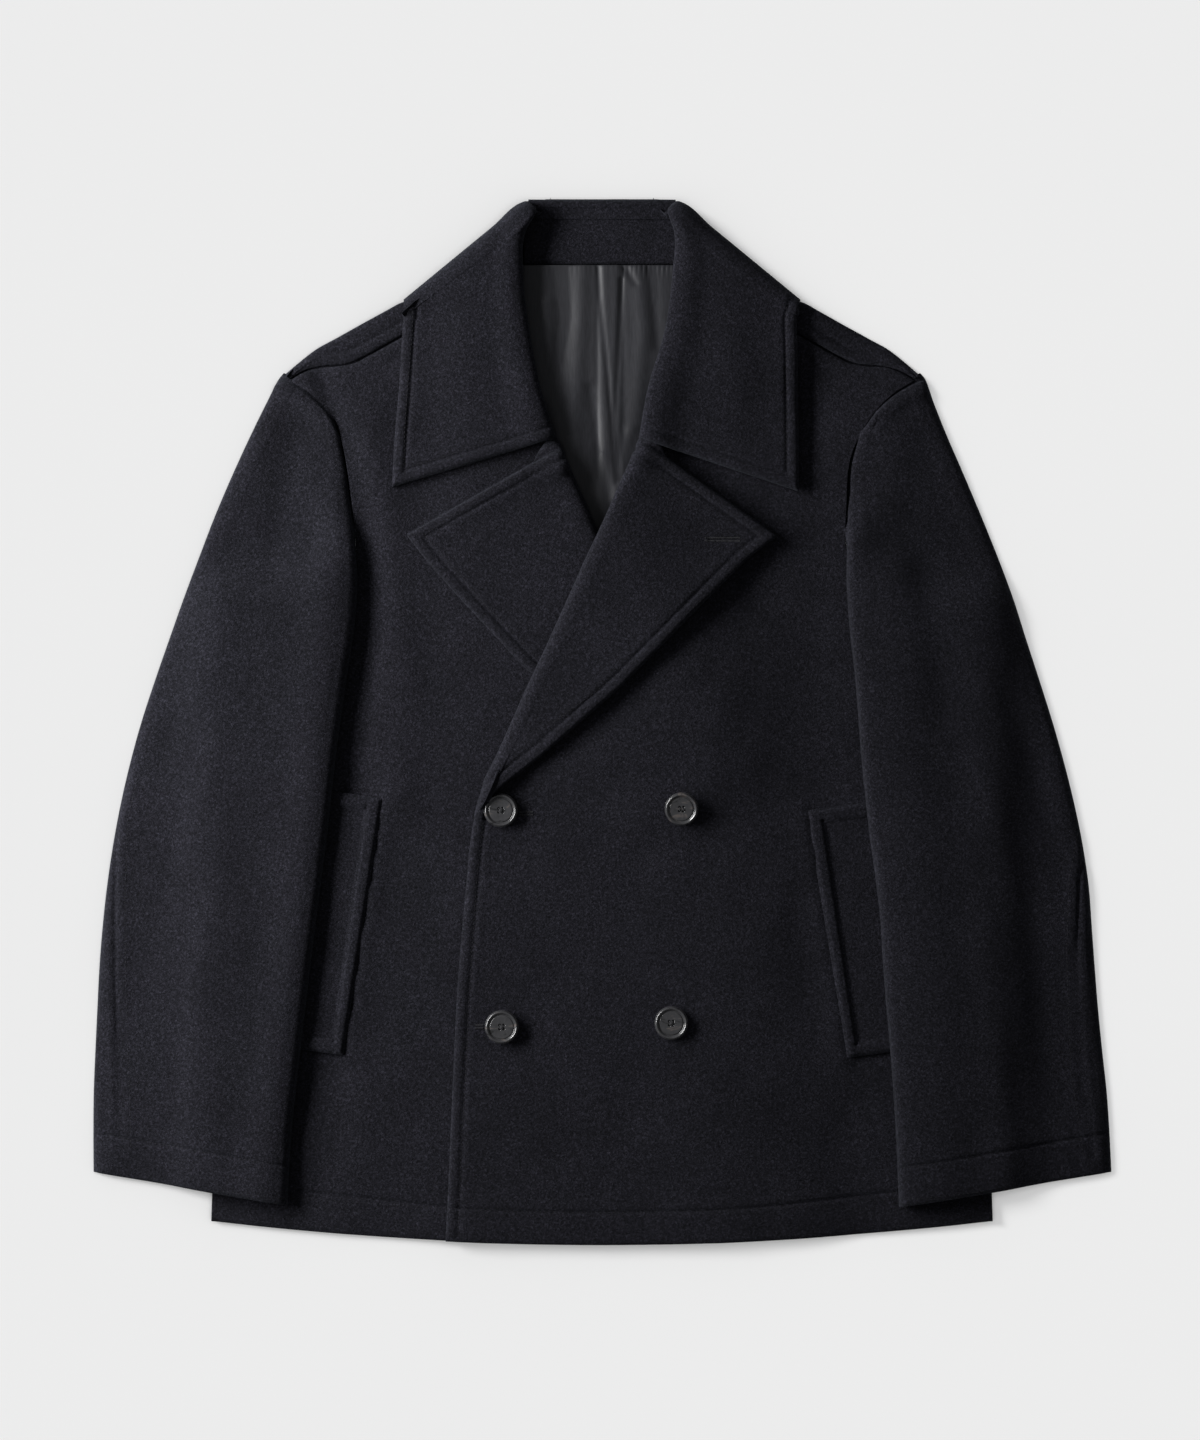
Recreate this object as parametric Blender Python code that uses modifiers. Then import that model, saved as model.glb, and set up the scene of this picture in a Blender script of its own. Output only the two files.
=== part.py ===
"""A double-breasted pea coat laid flat on its back, arms beside it.

Metres, +Z up, +Y to the collar. Left and right are the wearer's, so left is +X.
Every panel is an open grid with a Solidify wall. Sizes below are in millimetres.
"""
import math

import bmesh
import bpy
from mathutils import Vector

MM = 0.001

# Cloth and seams
WALL = 3.0            # melton
FACING_WALL = 2.5
COLLAR_WALL = 4.0     # two plies and canvas
LINING_WALL = 1.0
STAND_WALL = 3.5
WELT_WALL = 2.0
SEAM = 0.4            # gap between pieces that lie on each other

# Lengths
HEM_HALF = 281.2
HEM_Y = -376.2
HEM_LIFT = 16.6       # how much higher the hem is at the side seams
NECK_Y = 328.7        # back neck seam at the centre
CORNER = (54.0, 376.0)        # corner of the collar, where the diagonal fold starts
FALL = 113.0          # depth of the collar fall
SHOULDER_WRAP = 18.0  # how far the back comes forward over the shoulder
BUTTON_RADIUS = 12.0
BUTTON_HEIGHT = 4.0
BUTTON_GAP = 0.6

# Levels
CROWN = 2.4           # the fronts lie this much higher near the centre, over the lining
OVERLAP_LIFT = 3.7    # the left front over the right one
LAPEL_LIFT = 11.3     # the left front over the right lapel
SLEEVE_LIFT = 9.2     # the sleeves over the fronts and the welts
RAMP = 40.0

# One row for each height down a sleeve: outer edge (half width, y), inner edge (half width, y)
SLEEVE_ROWS = {
    "left": [
        ((232.6, 247.3), (190.8, 213.5)), ((245.5, 213.5), (178.9, 186.8)),
        ((268.6, 159.5), (176.4, 137.9)), ((290.2, 105.5), (176.4, 87.5)),
        ((308.2, 51.5), (182.5, 26.3)), ((325.4, -2.5), (186.5, -25.6)),
        ((339.8, -56.5), (192.2, -79.6)), ((349.9, -110.5), (199.4, -134.3)),
        ((354.2, -164.5), (203.0, -187.6)), ((358.6, -218.5), (207.7, -241.6)),
        ((364.3, -272.5), (211.3, -295.6)), ((367.2, -324.4), (213.5, -348.8)),
    ],
    "right": [
        ((232.6, 247.3), (190.8, 213.5)), ((249.8, 213.5), (184.8, 186.8)),
        ((274.3, 159.5), (178.6, 137.9)), ((295.2, 105.5), (176.2, 87.5)),
        ((314.6, 51.5), (184.3, 26.3)), ((332.6, -2.5), (191.5, -25.6)),
        ((346.3, -56.5), (197.3, -79.6)), ((355.7, -110.5), (204.5, -134.3)),
        ((361.4, -164.5), (211.0, -187.6)), ((364.3, -218.5), (217.4, -241.6)),
        ((366.5, -272.5), (223.2, -295.6)), ((366.5, -324.4), (226.1, -347.4)),
    ],
}
ARMHOLE_BOW = 5.0      # how far the armhole seam bows to the neck from a straight line
BOW_WAY = (-0.63, 0.777)

# Half width and y of the shoulder fold, from the sleeve to the neck
SHOULDER = [(227.5, 250.5), (208.8, 266.5), (177.0, 284.0), (150.0, 296.5), (134.0, 297.0), (78.0, 327.0)]

# Fold line and outline of each lapel: x is towards the wearer's left for both
LAPELS = {
    "left": {"top": (27.0, 202.0), "break": (-86.0, -46.0), "peak": (126.7, 133.5),
             "edge": [(-78.0, -52.0), (-42.5, -24.2), (13.0, 24.1), (63.4, 75.4), (103.7, 115.9), (126.7, 133.5)]},
    "right": {"top": (-29.2, 197.0), "break": (65.0, -20.0), "peak": (-141.0, 134.5),
              "edge": [(58.0, -26.0), (10.0, 2.0), (-48.0, 31.0), (-84.6, 69.5), (-120.0, 108.0), (-141.0, 134.5)]},
}

# Visible edge of the left front below its lapel, from the hem up
FRONT_EDGE = {
    "left": [(-112.3, -373.6), (-109.0, -304.0), (-104.4, -200.5), (-97.0, -111.0), (-93.6, -78.8)],
    "right": [(109.0, -373.7), (104.0, -304.0), (98.0, -200.0), (88.0, -111.0), (82.0, -60.0)],
}

# Inner roll edge and outer edge of a collar leaf, from the gorge up to the diagonal fold
LEAF = {
    "left": [((26.3, 203.3), (141.5, 165.5)), ((33.0, 240.0), (141.5, 200.0)), ((45.0, 281.0), (141.0, 235.0)),
             ((50.5, 322.0), (140.4, 268.0)), ((51.5, 352.0), (140.0, 290.0))],
    "right": [((-33.0, 203.3), (-151.0, 168.5)), ((-44.0, 240.0), (-149.0, 205.0)), ((-52.0, 281.0), (-146.0, 240.0)),
              ((-56.5, 322.0), (-144.0, 270.0)), ((-54.5, 352.0), (-142.5, 290.0))],
}
DIAGONAL_END = (142.6, 303.5)
CURL = 4.6            # outer radius of the collar's roll
CURL_TAIL = 2.0

POCKETS = {"left": [(147.0, -64.0), (176.5, -242.0)], "right": [(-157.5, -55.0), (-186.0, -240.0)]}
WELT_WIDTH = 46.0     # the welt and the pocket mouth behind it, as far as under the sleeve
WELT_GAP = 0.55       # more room under its front edge, where the front isn't flat
WELT_RISE = 6.0       # its outer side is this much higher up the coat
BUTTONS = [(-72.7, -63.7), (56.9, -62.3), (-72.0, -219.2), (49.7, -216.4)]

SIGN = {"left": 1.0, "right": -1.0}
WOOL = (0.012, 0.013, 0.018)
SATIN = (0.11, 0.11, 0.12)
HORN = (0.10, 0.09, 0.085)


def smooth(value, low, high):
    """0 below low, 1 above high, with an even slope at both ends."""
    t = min(1.0, max(0.0, (value - low) / (high - low)))
    return t * t * (3.0 - 2.0 * t)


def mix(a, b, t):
    return a + (b - a) * t


def along(points, t):
    """The point at t from 0 to 1 along a list of points, evenly spaced by length."""
    lengths = [math.dist(a, b) for a, b in zip(points, points[1:])]
    left = t * sum(lengths)
    for a, b, length in zip(points, points[1:], lengths):
        if left <= length or b is points[-1]:
            f = min(1.0, left / length)
            return tuple(mix(p, q, f) for p, q in zip(a, b))
        left -= length


def rounded(points, t):
    """Like along, by rows: a smooth curve through the points, one row for each."""
    place = t * (len(points) - 1)
    i = min(int(place), len(points) - 2)
    f = place - i
    p1, p2 = points[i], points[i + 1]
    p0 = points[i - 1] if i else tuple(2 * a - b for a, b in zip(p1, p2))
    p3 = points[i + 2] if i + 2 < len(points) else tuple(2 * b - a for a, b in zip(p1, p2))
    return tuple(0.5 * (2 * b + (c - a) * f + (2 * a - 5 * b + 4 * c - d) * f * f
                        + (3 * b - a - 3 * c + d) * f ** 3) for a, b, c, d in zip(p0, p1, p2, p3))


def segment_distance(x, y, a, b):
    ux, uy = b[0] - a[0], b[1] - a[1]
    t = ((x - a[0]) * ux + (y - a[1]) * uy) / (ux * ux + uy * uy)
    t = min(1.0, max(0.0, t))
    return math.hypot(x - a[0] - ux * t, y - a[1] - uy * t)


def outside(x, y, polygon):
    """Distance outside a polygon, 0 within it."""
    inside = False
    nearest = 1e9
    for a, b in zip(polygon, polygon[1:] + polygon[:1]):
        if (a[1] > y) != (b[1] > y) and x < a[0] + (y - a[1]) * (b[0] - a[0]) / (b[1] - a[1]):
            inside = not inside
        nearest = min(nearest, segment_distance(x, y, a, b))
    return 0.0 if inside else nearest


# Levels of the layers, all as functions of place

def neck_lift(x, y):
    """The back panel rises over the collar fall, which lies on the floor behind the neck."""
    reach = math.hypot(max(abs(x) - CORNER[0], 0.0), CORNER[1] - y)
    return (COLLAR_WALL + 2.0 * SEAM) * (1.0 - smooth(reach, FALL + 8.0, FALL + 60.0))


def crown(x):
    return CROWN * (1.0 - smooth(abs(x), 90.0, 150.0))


def front_low(x, y):
    """Lower face of a front where it lies straight on the back."""
    return neck_lift(x, y) + WALL + SEAM + crown(x)


def right_front_limit(y):
    """The hidden edge of the right front, under the left one."""
    top, low = LAPELS["right"]["top"], LAPELS["right"]["break"]
    if y > low[1]:
        return mix(low[0], top[0], (y - low[1]) / (top[1] - low[1])) + 6.0
    return mix(low[0], 109.0, (low[1] - y) / (low[1] - HEM_Y)) + 34.0


def left_low(x, y):
    """Lower face of the left front, which also passes over the right front and its lapel."""
    over_front = OVERLAP_LIFT * (1.0 - smooth(x - right_front_limit(y), 4.0, 4.0 + RAMP))
    lapel = LAPELS["right"]
    shape = [lapel["top"]] + lapel["edge"][::-1] + [lapel["break"]]
    over_lapel = LAPEL_LIFT * (1.0 - smooth(outside(x, y, shape), 12.0, 12.0 + 2.0 * RAMP))
    return front_low(x, y) + max(over_front, over_lapel)


def low_face(side):
    return left_low if side == "left" else front_low


# Outline of the body

def armhole(side):
    """Half width and y of the side edge, from the hem to the shoulder."""
    gap = SEAM + 0.2
    under = [(HEM_HALF, HEM_Y + HEM_LIFT), (278.0, -260.0), (274.5, -150.0), (271.5, -40.0), (269.0, 40.0), (268.0, 79.0)]
    corner = [(232.0, 87.0), (200.0, 96.0), (181.0, 108.0)]
    inner = [sleeve_edges(side, t)[1] for t in (0.2, 0.15, 0.1, 0.05)]
    front = [(x - gap, y) for x, y in inner]
    seam = [armhole_seam(side, f, gap) for f in (1.0, 0.8, 0.65, 0.5, 0.35, 0.2, 0.0)]
    return under + corner + front + seam


def sleeve_edges(side, t):
    """Outer and inner edge at t from the armhole at 0 to the cuff at 1."""
    rows = SLEEVE_ROWS[side]
    return rounded([r[0] for r in rows], t), rounded([r[1] for r in rows], t)


def armhole_seam(side, f, gap):
    """A point on the armhole seam in front, f across from the shoulder, set back by gap."""
    outer, inner = SLEEVE_ROWS[side][0]
    bow = ARMHOLE_BOW * 4.0 * f * (1.0 - f) + gap
    return mix(outer[0], inner[0], f) + BOW_WAY[0] * bow, mix(outer[1], inner[1], f) + BOW_WAY[1] * bow


def hem_y(x):
    return HEM_Y + HEM_LIFT * (x / HEM_HALF) ** 2


def sleeve_base(side, x, y):
    """Level that a sleeve lies on: the floor, or the body under its inner edge."""
    body = [p for p in armhole(side) if p[1] < 115.0] + [(176.0, 118.0), (0.0, 118.0), (0.0, HEM_Y)]
    return SLEEVE_LIFT * (1.0 - smooth(outside(abs(x), y, body), 3.0, 3.0 + RAMP))


# Mesh building

def add_grid(bm, columns, rows, place):
    """A grid whose corner (i, j) goes to place(i, j), with i across and j along."""
    first = len(bm.verts)
    verts = bmesh.ops.create_grid(bm, x_segments=columns, y_segments=rows, size=1.0)["verts"]
    assert len(verts) == (columns + 1) * (rows + 1) and len(bm.verts) == first + len(verts)
    for vert in verts:
        i = round((vert.co.x + 1.0) / 2.0 * columns)
        j = round((vert.co.y + 1.0) / 2.0 * rows)
        vert.co = Vector(place(i, j)) * MM
    return verts


def material(name, colour, roughness, metallic=0.0):
    mat = bpy.data.materials.new(name)
    mat.use_nodes = True
    shader = mat.node_tree.nodes["Principled BSDF"]
    shader.inputs["Base Color"].default_value = (*colour, 1.0)
    shader.inputs["Roughness"].default_value = roughness
    shader.inputs["Metallic"].default_value = metallic
    return mat


def sheet(name, bm, wall, offset, mat_colour=WOOL, roughness=0.9):
    """A cloth piece: the open surface in bm with a wall on its normal side (1) or behind it (-1)."""
    bmesh.ops.remove_doubles(bm, verts=bm.verts, dist=0.00001)
    mesh = bpy.data.meshes.new(name)
    bm.to_mesh(mesh)
    bm.free()
    mesh.shade_smooth()
    obj = bpy.data.objects.new(name, mesh)
    obj.data.materials.append(material(name, mat_colour, roughness))
    solidify = obj.modifiers.new("wall", "SOLIDIFY")
    solidify.thickness = wall * MM
    solidify.offset = offset
    coat.objects.link(obj)
    return obj


# Shoulder seam, shared by the back, which wraps forward to it, and the fronts

OUT = (0.447, 0.894)          # from the body across the shoulder fold
SHOULDER_COLUMNS = 12
WRAP_FADE = 45.0              # the wrapped strip narrows to nothing this far from the sleeve


def fold_radius(x):
    return WALL + (SEAM + crown(x)) / 2.0


def shoulder_point(t):
    """Centre of the shoulder fold (half width, y), from the sleeve at 0 to the neck at 1."""
    x, y = along(SHOULDER, t)
    radius = fold_radius(x)
    return x - OUT[0] * radius, y - OUT[1] * radius


def wrap_length(x):
    return 1.0 + (SHOULDER_WRAP - 1.0) * smooth(SHOULDER[0][0] - x, 0.0, WRAP_FADE)


# The pieces

def make_back():
    """The back, flat on the floor, with a strip wrapped forward over each shoulder."""
    half, up, top_rows = 16, 7, 14
    sides = {side: armhole(side) for side in SIGN}
    neck_columns = half - SHOULDER_COLUMNS
    underarm = 5
    bm = bmesh.new()

    def top_edge(u):
        """Shoulder fold from the sleeve to the neck, then the neck curve."""
        columns_in = (1.0 - abs(u)) * half
        if columns_in <= SHOULDER_COLUMNS:
            return shoulder_point(columns_in / SHOULDER_COLUMNS)
        x, y = shoulder_point(1.0)
        t = abs(u) * half / neck_columns
        return x * t, mix(NECK_Y - SEAM, y, t ** 3)

    def place(i, j):
        u = i / half - 1.0
        side = "left" if u > 0 else "right"
        edge = sides[side]
        if j <= up:
            x, y = rounded(edge[:underarm + 1], j / up)
            y += (hem_y(u * HEM_HALF) - hem_y(HEM_HALF)) * (1.0 - j / up)
            x *= u
        else:
            t = (j - up) / top_rows
            ex, ey = edge[underarm + j - up]
            px, py = top_edge(u)
            x = SIGN[side] * ex * mix(abs(u), px / top_edge(1.0)[0], smooth(t, 0.4, 1.0))
            y = mix(mix(edge[underarm][1], py, t), ey, u ** 4)
            if j == up + top_rows:
                x, y = SIGN[side] * px, py
        return x, y, neck_lift(x, y)

    def strip_place(first):
        def strip(i, j):
            x, y, z = place(first + i, up + top_rows)
            side = SIGN["left" if x > 0 else "right"]
            radius = fold_radius(x)
            angle = math.pi * min(j, 4) / 4.0
            forward = radius * math.sin(angle) - wrap_length(abs(x)) * max(0, j - 4) / 2.0
            x, y = x + side * OUT[0] * forward, y + OUT[1] * forward
            if j > 4:
                z = neck_lift(x, y)
            return x, y, z + radius * (1.0 - math.cos(angle))
        return strip

    add_grid(bm, 2 * half, up + top_rows, place)
    for first in (0, 2 * half - SHOULDER_COLUMNS):
        add_grid(bm, SHOULDER_COLUMNS, 6, strip_place(first))
    return sheet("back", bm, WALL, 1)


# Fronts and lapels

PLY_RADIUS = WALL + 0.7
ROLL_RADIUS = PLY_RADIUS + 0.5 + FACING_WALL
LAPEL_ROWS = 10
LAPEL_COLUMNS = 7
FRONT_BIAS = 1.2       # the columns of a front are closer near its edge
NECK_EDGE = {"left": [(45.0, 206.0), (55.0, 228.0), (66.0, 262.0)],
             "right": [(-49.0, 206.0), (-59.0, 228.0), (-68.0, 262.0)]}


def fold_line(side, v):
    """Centre of the lapel's fold from the break at 0 to the gorge at 1, and its outward direction."""
    lapel = LAPELS[side]
    dx, dy = lapel["top"][0] - lapel["break"][0], lapel["top"][1] - lapel["break"][1]
    length = math.hypot(dx, dy)
    out = (-SIGN[side] * dy / length, SIGN[side] * dx / length)
    x = mix(lapel["break"][0], lapel["top"][0], v) - out[0] * ROLL_RADIUS
    y = mix(lapel["break"][1], lapel["top"][1], v) - out[1] * ROLL_RADIUS
    return x, y, out


def lapel_point(side, f, v, inset):
    """A point on a folded lapel, f across from the fold at 0 to the outer edge at 1."""
    x, y, out = fold_line(side, v)
    edge = along(LAPELS[side]["edge"], v)
    reach = math.dist((x, y), edge)
    f *= 1.0 - inset / reach
    return mix(x, edge[0], f), mix(y, edge[1], f)


def lapel_fold(side, v, angle, radius, level):
    x, y, out = fold_line(side, v)
    z = low_face(side)(x, y) + level
    return (x + out[0] * radius * math.sin(angle), y + out[1] * radius * math.sin(angle),
            z - radius * math.cos(angle))


def make_front(side):
    """A front with its lapel folded out, as one cloth."""
    sign, columns, low_rows, top_rows = SIGN[side], 14, 7, 7
    edge = armhole(side)
    low_side = [rounded([edge[0], edge[1], edge[2], (272.5, -75.0)], j / low_rows) for j in range(low_rows + 1)]
    lapel_side = [(272.5, -75.0), (271.8, -25.0), (270.5, 25.0)] + edge[5:13]
    top_side = edge[12:]
    neck = [fold_line(side, 1.0)[:2]] + NECK_EDGE[side]
    height = low_face(side)
    bm = bmesh.new()

    def row(j):
        """Front edge and side edge of row j."""
        if j <= low_rows:
            t = j / low_rows
            start = FRONT_EDGE[side] + [fold_line(side, 0.0)[:2]]
            return rounded(start, t), low_side[j], 1.0 - t
        j -= low_rows
        if j <= LAPEL_ROWS:
            return fold_line(side, j / LAPEL_ROWS)[:2], lapel_side[j], 0.0
        j -= LAPEL_ROWS
        return along(neck, j / (top_rows - 1)), top_side[j], 0.0

    def place(i, j):
        u = (i / columns) ** FRONT_BIAS
        if j == low_rows + LAPEL_ROWS + top_rows:
            x, y = shoulder_point(1.0 - i / columns)
            back = wrap_length(x) + 4.0 * SEAM
            x, y = sign * (x - OUT[0] * back), y - OUT[1] * back
            return x, y, height(x, y)
        start, end, hem = row(j)
        x = mix(start[0], sign * end[0], u)
        y = mix(start[1], end[1], u)
        y += (hem_y(x) - mix(hem_y(start[0]), hem_y(HEM_HALF), u)) * hem
        return x, y, height(x, y)

    def lapel(i, j):
        v = j / LAPEL_ROWS
        i = 4 + LAPEL_COLUMNS - i
        if i <= 4:
            return lapel_fold(side, v, math.pi * i / 4.0, PLY_RADIUS, PLY_RADIUS)
        x, y = lapel_point(side, (i - 4) / LAPEL_COLUMNS, v, 0.8)
        return x, y, height(x, y) + 2.0 * PLY_RADIUS

    add_grid(bm, columns, low_rows + LAPEL_ROWS + top_rows, place)
    add_grid(bm, 4 + LAPEL_COLUMNS, LAPEL_ROWS, lapel)
    return sheet("front_" + side, bm, WALL, sign)


def make_facing(side):
    """The cloth seen on a lapel, which rolls over the fold."""
    height = low_face(side)
    bm = bmesh.new()
    start = math.radians(64.0)

    def place(i, j):
        v = j / LAPEL_ROWS
        i = 4 + LAPEL_COLUMNS - i
        if i <= 4:
            angle = mix(start, math.pi, i / 4.0)
            return lapel_fold(side, v, angle, ROLL_RADIUS, PLY_RADIUS)
        x, y = lapel_point(side, (i - 4) / LAPEL_COLUMNS, v, 0.0)
        return x, y, height(x, y) + PLY_RADIUS + ROLL_RADIUS

    add_grid(bm, 4 + LAPEL_COLUMNS, LAPEL_ROWS, place)
    return sheet("facing_" + side, bm, FACING_WALL, SIGN[side])


# Sleeves

EDGE_INSET = 9.0       # the top sleeve turns down over this width at each edge
SLEEVE_GAP = 0.7       # between the top and the under sleeve
SLEEVE_COLUMNS = 8
SLEEVE_BEDS = 20


def sleeve_point(side, t, from_outer, width):
    """A point across the sleeve; the armhole seam bows towards the neck."""
    outer, inner = sleeve_edges(side, t)
    f = from_outer / width
    bow = ARMHOLE_BOW * 4.0 * f * (1.0 - f) * (1.0 - smooth(t, 0.0, 0.16))
    return mix(outer[0], inner[0], f) + BOW_WAY[0] * bow, mix(outer[1], inner[1], f) + BOW_WAY[1] * bow


def make_sleeve_under(side):
    sign, columns, rows = SIGN[side], SLEEVE_COLUMNS, SLEEVE_BEDS
    bm = bmesh.new()

    def place(i, j):
        t = max(0.035, 1.0 - j / rows)
        width = math.dist(*sleeve_edges(side, t))
        inset = EDGE_INSET + 2.5
        across = mix(width - inset, inset, i / columns)
        x, y = sleeve_point(side, t, across, width)
        return sign * x, y, sleeve_base(side, x, y)

    add_grid(bm, columns, rows, place)
    return sheet("sleeve_%s_under" % side, bm, WALL, sign)


def make_sleeve_top(side):
    sign, flat, rows = SIGN[side], SLEEVE_COLUMNS, SLEEVE_BEDS
    turn = [0.0, 30.0, 60.0, 90.0]
    bm = bmesh.new()

    def place(i, j):
        t = 1.0 - j / rows
        width = math.dist(*sleeve_edges(side, t))
        inset = min(EDGE_INSET, width * 0.2)
        count = flat + 6
        if i <= 3:
            angle = math.radians(turn[i])
            across = width - inset * (1.0 - math.cos(angle))
        elif i >= count - 3:
            angle = math.radians(turn[count - i])
            across = inset * (1.0 - math.cos(angle))
        else:
            angle = math.radians(90.0)
            across = mix(width - inset, inset, (i - 3) / flat)
        x, y = sleeve_point(side, t, across, width)
        base = sleeve_base(side, x, y)
        top = WALL * 2.0 + SLEEVE_GAP
        return sign * x, y, base + mix(1.1, top, math.sin(angle))

    add_grid(bm, flat + 6, rows, place)
    return sheet("sleeve_%s_top" % side, bm, WALL, -sign)


# Collar

def leaf_level(side, x, y):
    """Top of a collar leaf."""
    return low_face(side)(x, y) + WALL + COLLAR_WALL + 4.0 * SEAM


LEAF_ROLL_RISE = 2.2      # a leaf stands this much higher at its roll edge
LEAF_ROLL_WIDTH = 22.0
SPREAD = 4                # grid steps down a section
CURL_STEPS = 4            # and round its roll


def make_collar():
    """The collar fall: two leaves on the fronts, folded behind the neck along two diagonals."""
    bm = bmesh.new()

    def leaf_section(side, k):
        inner, outer = LEAF[side][k]
        dx, dy = outer[0] - inner[0], outer[1] - inner[1]
        length = math.hypot(dx, dy)
        d = Vector((dx / length, dy / length, 0.0))
        start = Vector((inner[0], inner[1], 0.0)) + d * CURL
        points = []
        for i in range(SPREAD + 1):
            s = (length - CURL) * i / SPREAD
            p = start + d * s
            p.z = leaf_level(side, p.x, p.y) + LEAF_ROLL_RISE * math.exp(-s / LEAF_ROLL_WIDTH)
            points.append(p)
        return points, d, Vector((0.0, 0.0, 1.0))

    def wrap_section(side, angle):
        sign = SIGN[side]
        corner = Vector((sign * CORNER[0], CORNER[1], 0.0))
        end = Vector((sign * DIAGONAL_END[0], DIAGONAL_END[1], 0.0))
        d = (end - corner).normalized()
        out = Vector((-d.y * sign, d.x * sign, 0.0))
        length = (end - corner).length
        points = []
        for i in range(SPREAD + 1):
            s = CURL + (length - CURL) * i / SPREAD
            edge = corner + d * s
            level = leaf_level(side, edge.x, edge.y) + LEAF_ROLL_RISE * math.exp(-(s - CURL) / LEAF_ROLL_WIDTH)
            radius = level / 2.0
            centre = edge - out * radius
            centre.z = radius
            points.append(centre + (out * math.sin(angle) + Vector((0, 0, math.cos(angle)))) * radius)
        return points, d, out * math.sin(angle) + Vector((0, 0, math.cos(angle)))

    def back_section(x, heading, length):
        """Behind the neck, flat on the floor, heading down from the top edge."""
        d = Vector((math.sin(heading), -math.cos(heading), 0.0))
        start = Vector((x, CORNER[1] - CURL, 0.0))
        return [start + d * (length - CURL) * i / SPREAD for i in range(SPREAD + 1)], d, Vector((0, 0, -1.0))

    def half(side):
        sign = SIGN[side]
        found = [leaf_section(side, k) for k in range(len(LEAF[side]))]
        found += [wrap_section(side, math.pi * k / 6.0) for k in range(7)]
        diagonal = math.atan2(DIAGONAL_END[0] - CORNER[0], CORNER[1] - DIAGONAL_END[1])
        for k in (1, 2, 3):
            x = mix(CORNER[0] - 8.0, 40.0, k / 3.0)
            found.append(back_section(sign * x, sign * diagonal * (1.0 - k / 3.0), FALL))
        return found

    sections = half("right") + [back_section(x, 0.0, FALL) for x in (-20.0, 0.0, 20.0)] + half("left")[::-1]

    def place(i, j):
        points, d, n = sections[i]
        if j <= SPREAD:
            return points[SPREAD - j].copy()
        p = points[0]
        angle = math.pi * min(j - SPREAD, CURL_STEPS) / CURL_STEPS
        q = p - d * CURL * math.sin(angle) - n * CURL * (1.0 - math.cos(angle))
        if j > SPREAD + CURL_STEPS:
            q += d * CURL_TAIL
        return q

    add_grid(bm, len(sections) - 1, SPREAD + CURL_STEPS + 1, place)
    return sheet("collar", bm, COLLAR_WALL, 1)


def make_stand():
    """Inside of the stand across the back of the neck, on the fall."""
    bm = bmesh.new()
    low, high = NECK_Y + SEAM, CORNER[1] - CURL - CURL_TAIL - SEAM

    def place(i, j):
        t = j / 4.0
        return mix(55.0, 38.0, t) * (i / 4.0 - 1.0), mix(low, high, t), COLLAR_WALL + SEAM

    add_grid(bm, 8, 4, place)
    return sheet("collar_stand", bm, STAND_WALL, 1)


def make_lining():
    """Satin on the back panel, as far as the neck shows it, with a pleat at the centre."""
    bm = bmesh.new()
    pleat = [(-1.5, 0.0), (-0.5, 1.2), (6.0, 1.3), (12.0, 1.0), (14.0, 0.0)]
    across = [-1.0, -0.75, -0.5, -0.25, -0.1] + [None] * len(pleat) + [0.3, 0.5, 0.75, 1.0]
    low, high, rows = 60.0, NECK_Y - SEAM - 0.2, 13

    def place(i, j):
        y = mix(low, high, j / rows)
        half = mix(72.0, 58.0, smooth(y, 180.0, high))
        rise = 0.0
        if across[i] is None:
            x, rise = pleat[i - 5]
            rise *= smooth(y, 150.0, 200.0)
        else:
            x = across[i] * half
        return x, y, neck_lift(x, y) + WALL + 2.0 * SEAM + rise

    add_grid(bm, len(across) - 1, rows, place)
    return sheet("back_lining", bm, LINING_WALL, 1, SATIN, 0.4)


def make_welt(side):
    """Slanted hand-warmer welt, which the sleeve partly covers."""
    bm = bmesh.new()
    (x0, y0), (x1, y1) = POCKETS[side]
    sign, columns, rows = SIGN[side], 6, 12

    def place(i, j):
        t = j / rows
        x = mix(x1, x0, t) + sign * WELT_WIDTH * i / columns
        y = mix(y1, y0, t) + WELT_RISE * i / columns
        return x, y, low_face(side)(x, y) + WALL + SEAM + WELT_GAP * (1.0 - i / columns)

    add_grid(bm, columns, rows, place)
    return sheet("pocket_welt_" + side, bm, WELT_WALL, sign)


def make_button(number, x, y):
    """A turned button with a raised rim and a short foot."""
    bm = bmesh.new()
    r, h = BUTTON_RADIUS, BUTTON_HEIGHT
    profile = [(0.0, h - 1.0), (r - 3.6, h - 1.1), (r - 2.6, h), (r - 0.8, h), (r, h - 1.2),
               (r - 0.6, 1.6), (4.0, 1.0), (4.0, 0.0), (0.0, 0.0)]
    verts = [bm.verts.new(Vector((a, 0.0, b)) * MM) for a, b in profile]
    for a, b in zip(verts, verts[1:]):
        bm.edges.new((a, b))
    mesh = bpy.data.meshes.new("button")
    bm.to_mesh(mesh)
    bm.free()
    obj = bpy.data.objects.new("button_%d" % number, mesh)
    obj.data.materials.append(material("horn_%d" % number, HORN, 0.35))
    turn = obj.modifiers.new("turn", "SCREW")
    turn.steps = turn.render_steps = 20
    turn.use_merge_vertices = True
    turn.merge_threshold = 0.00001
    step = 5.0
    slope_x = (left_low(x + step, y) - left_low(x - step, y)) / (2.0 * step)
    slope_y = (left_low(x, y + step) - left_low(x, y - step)) / (2.0 * step)
    up = Vector((-slope_x, -slope_y, 1.0))
    obj.rotation_euler = up.to_track_quat("Z", "Y").to_euler()
    obj.location = Vector((x, y, left_low(x, y) + WALL + BUTTON_GAP)) * MM
    coat.objects.link(obj)
    return obj


coat = None


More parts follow.
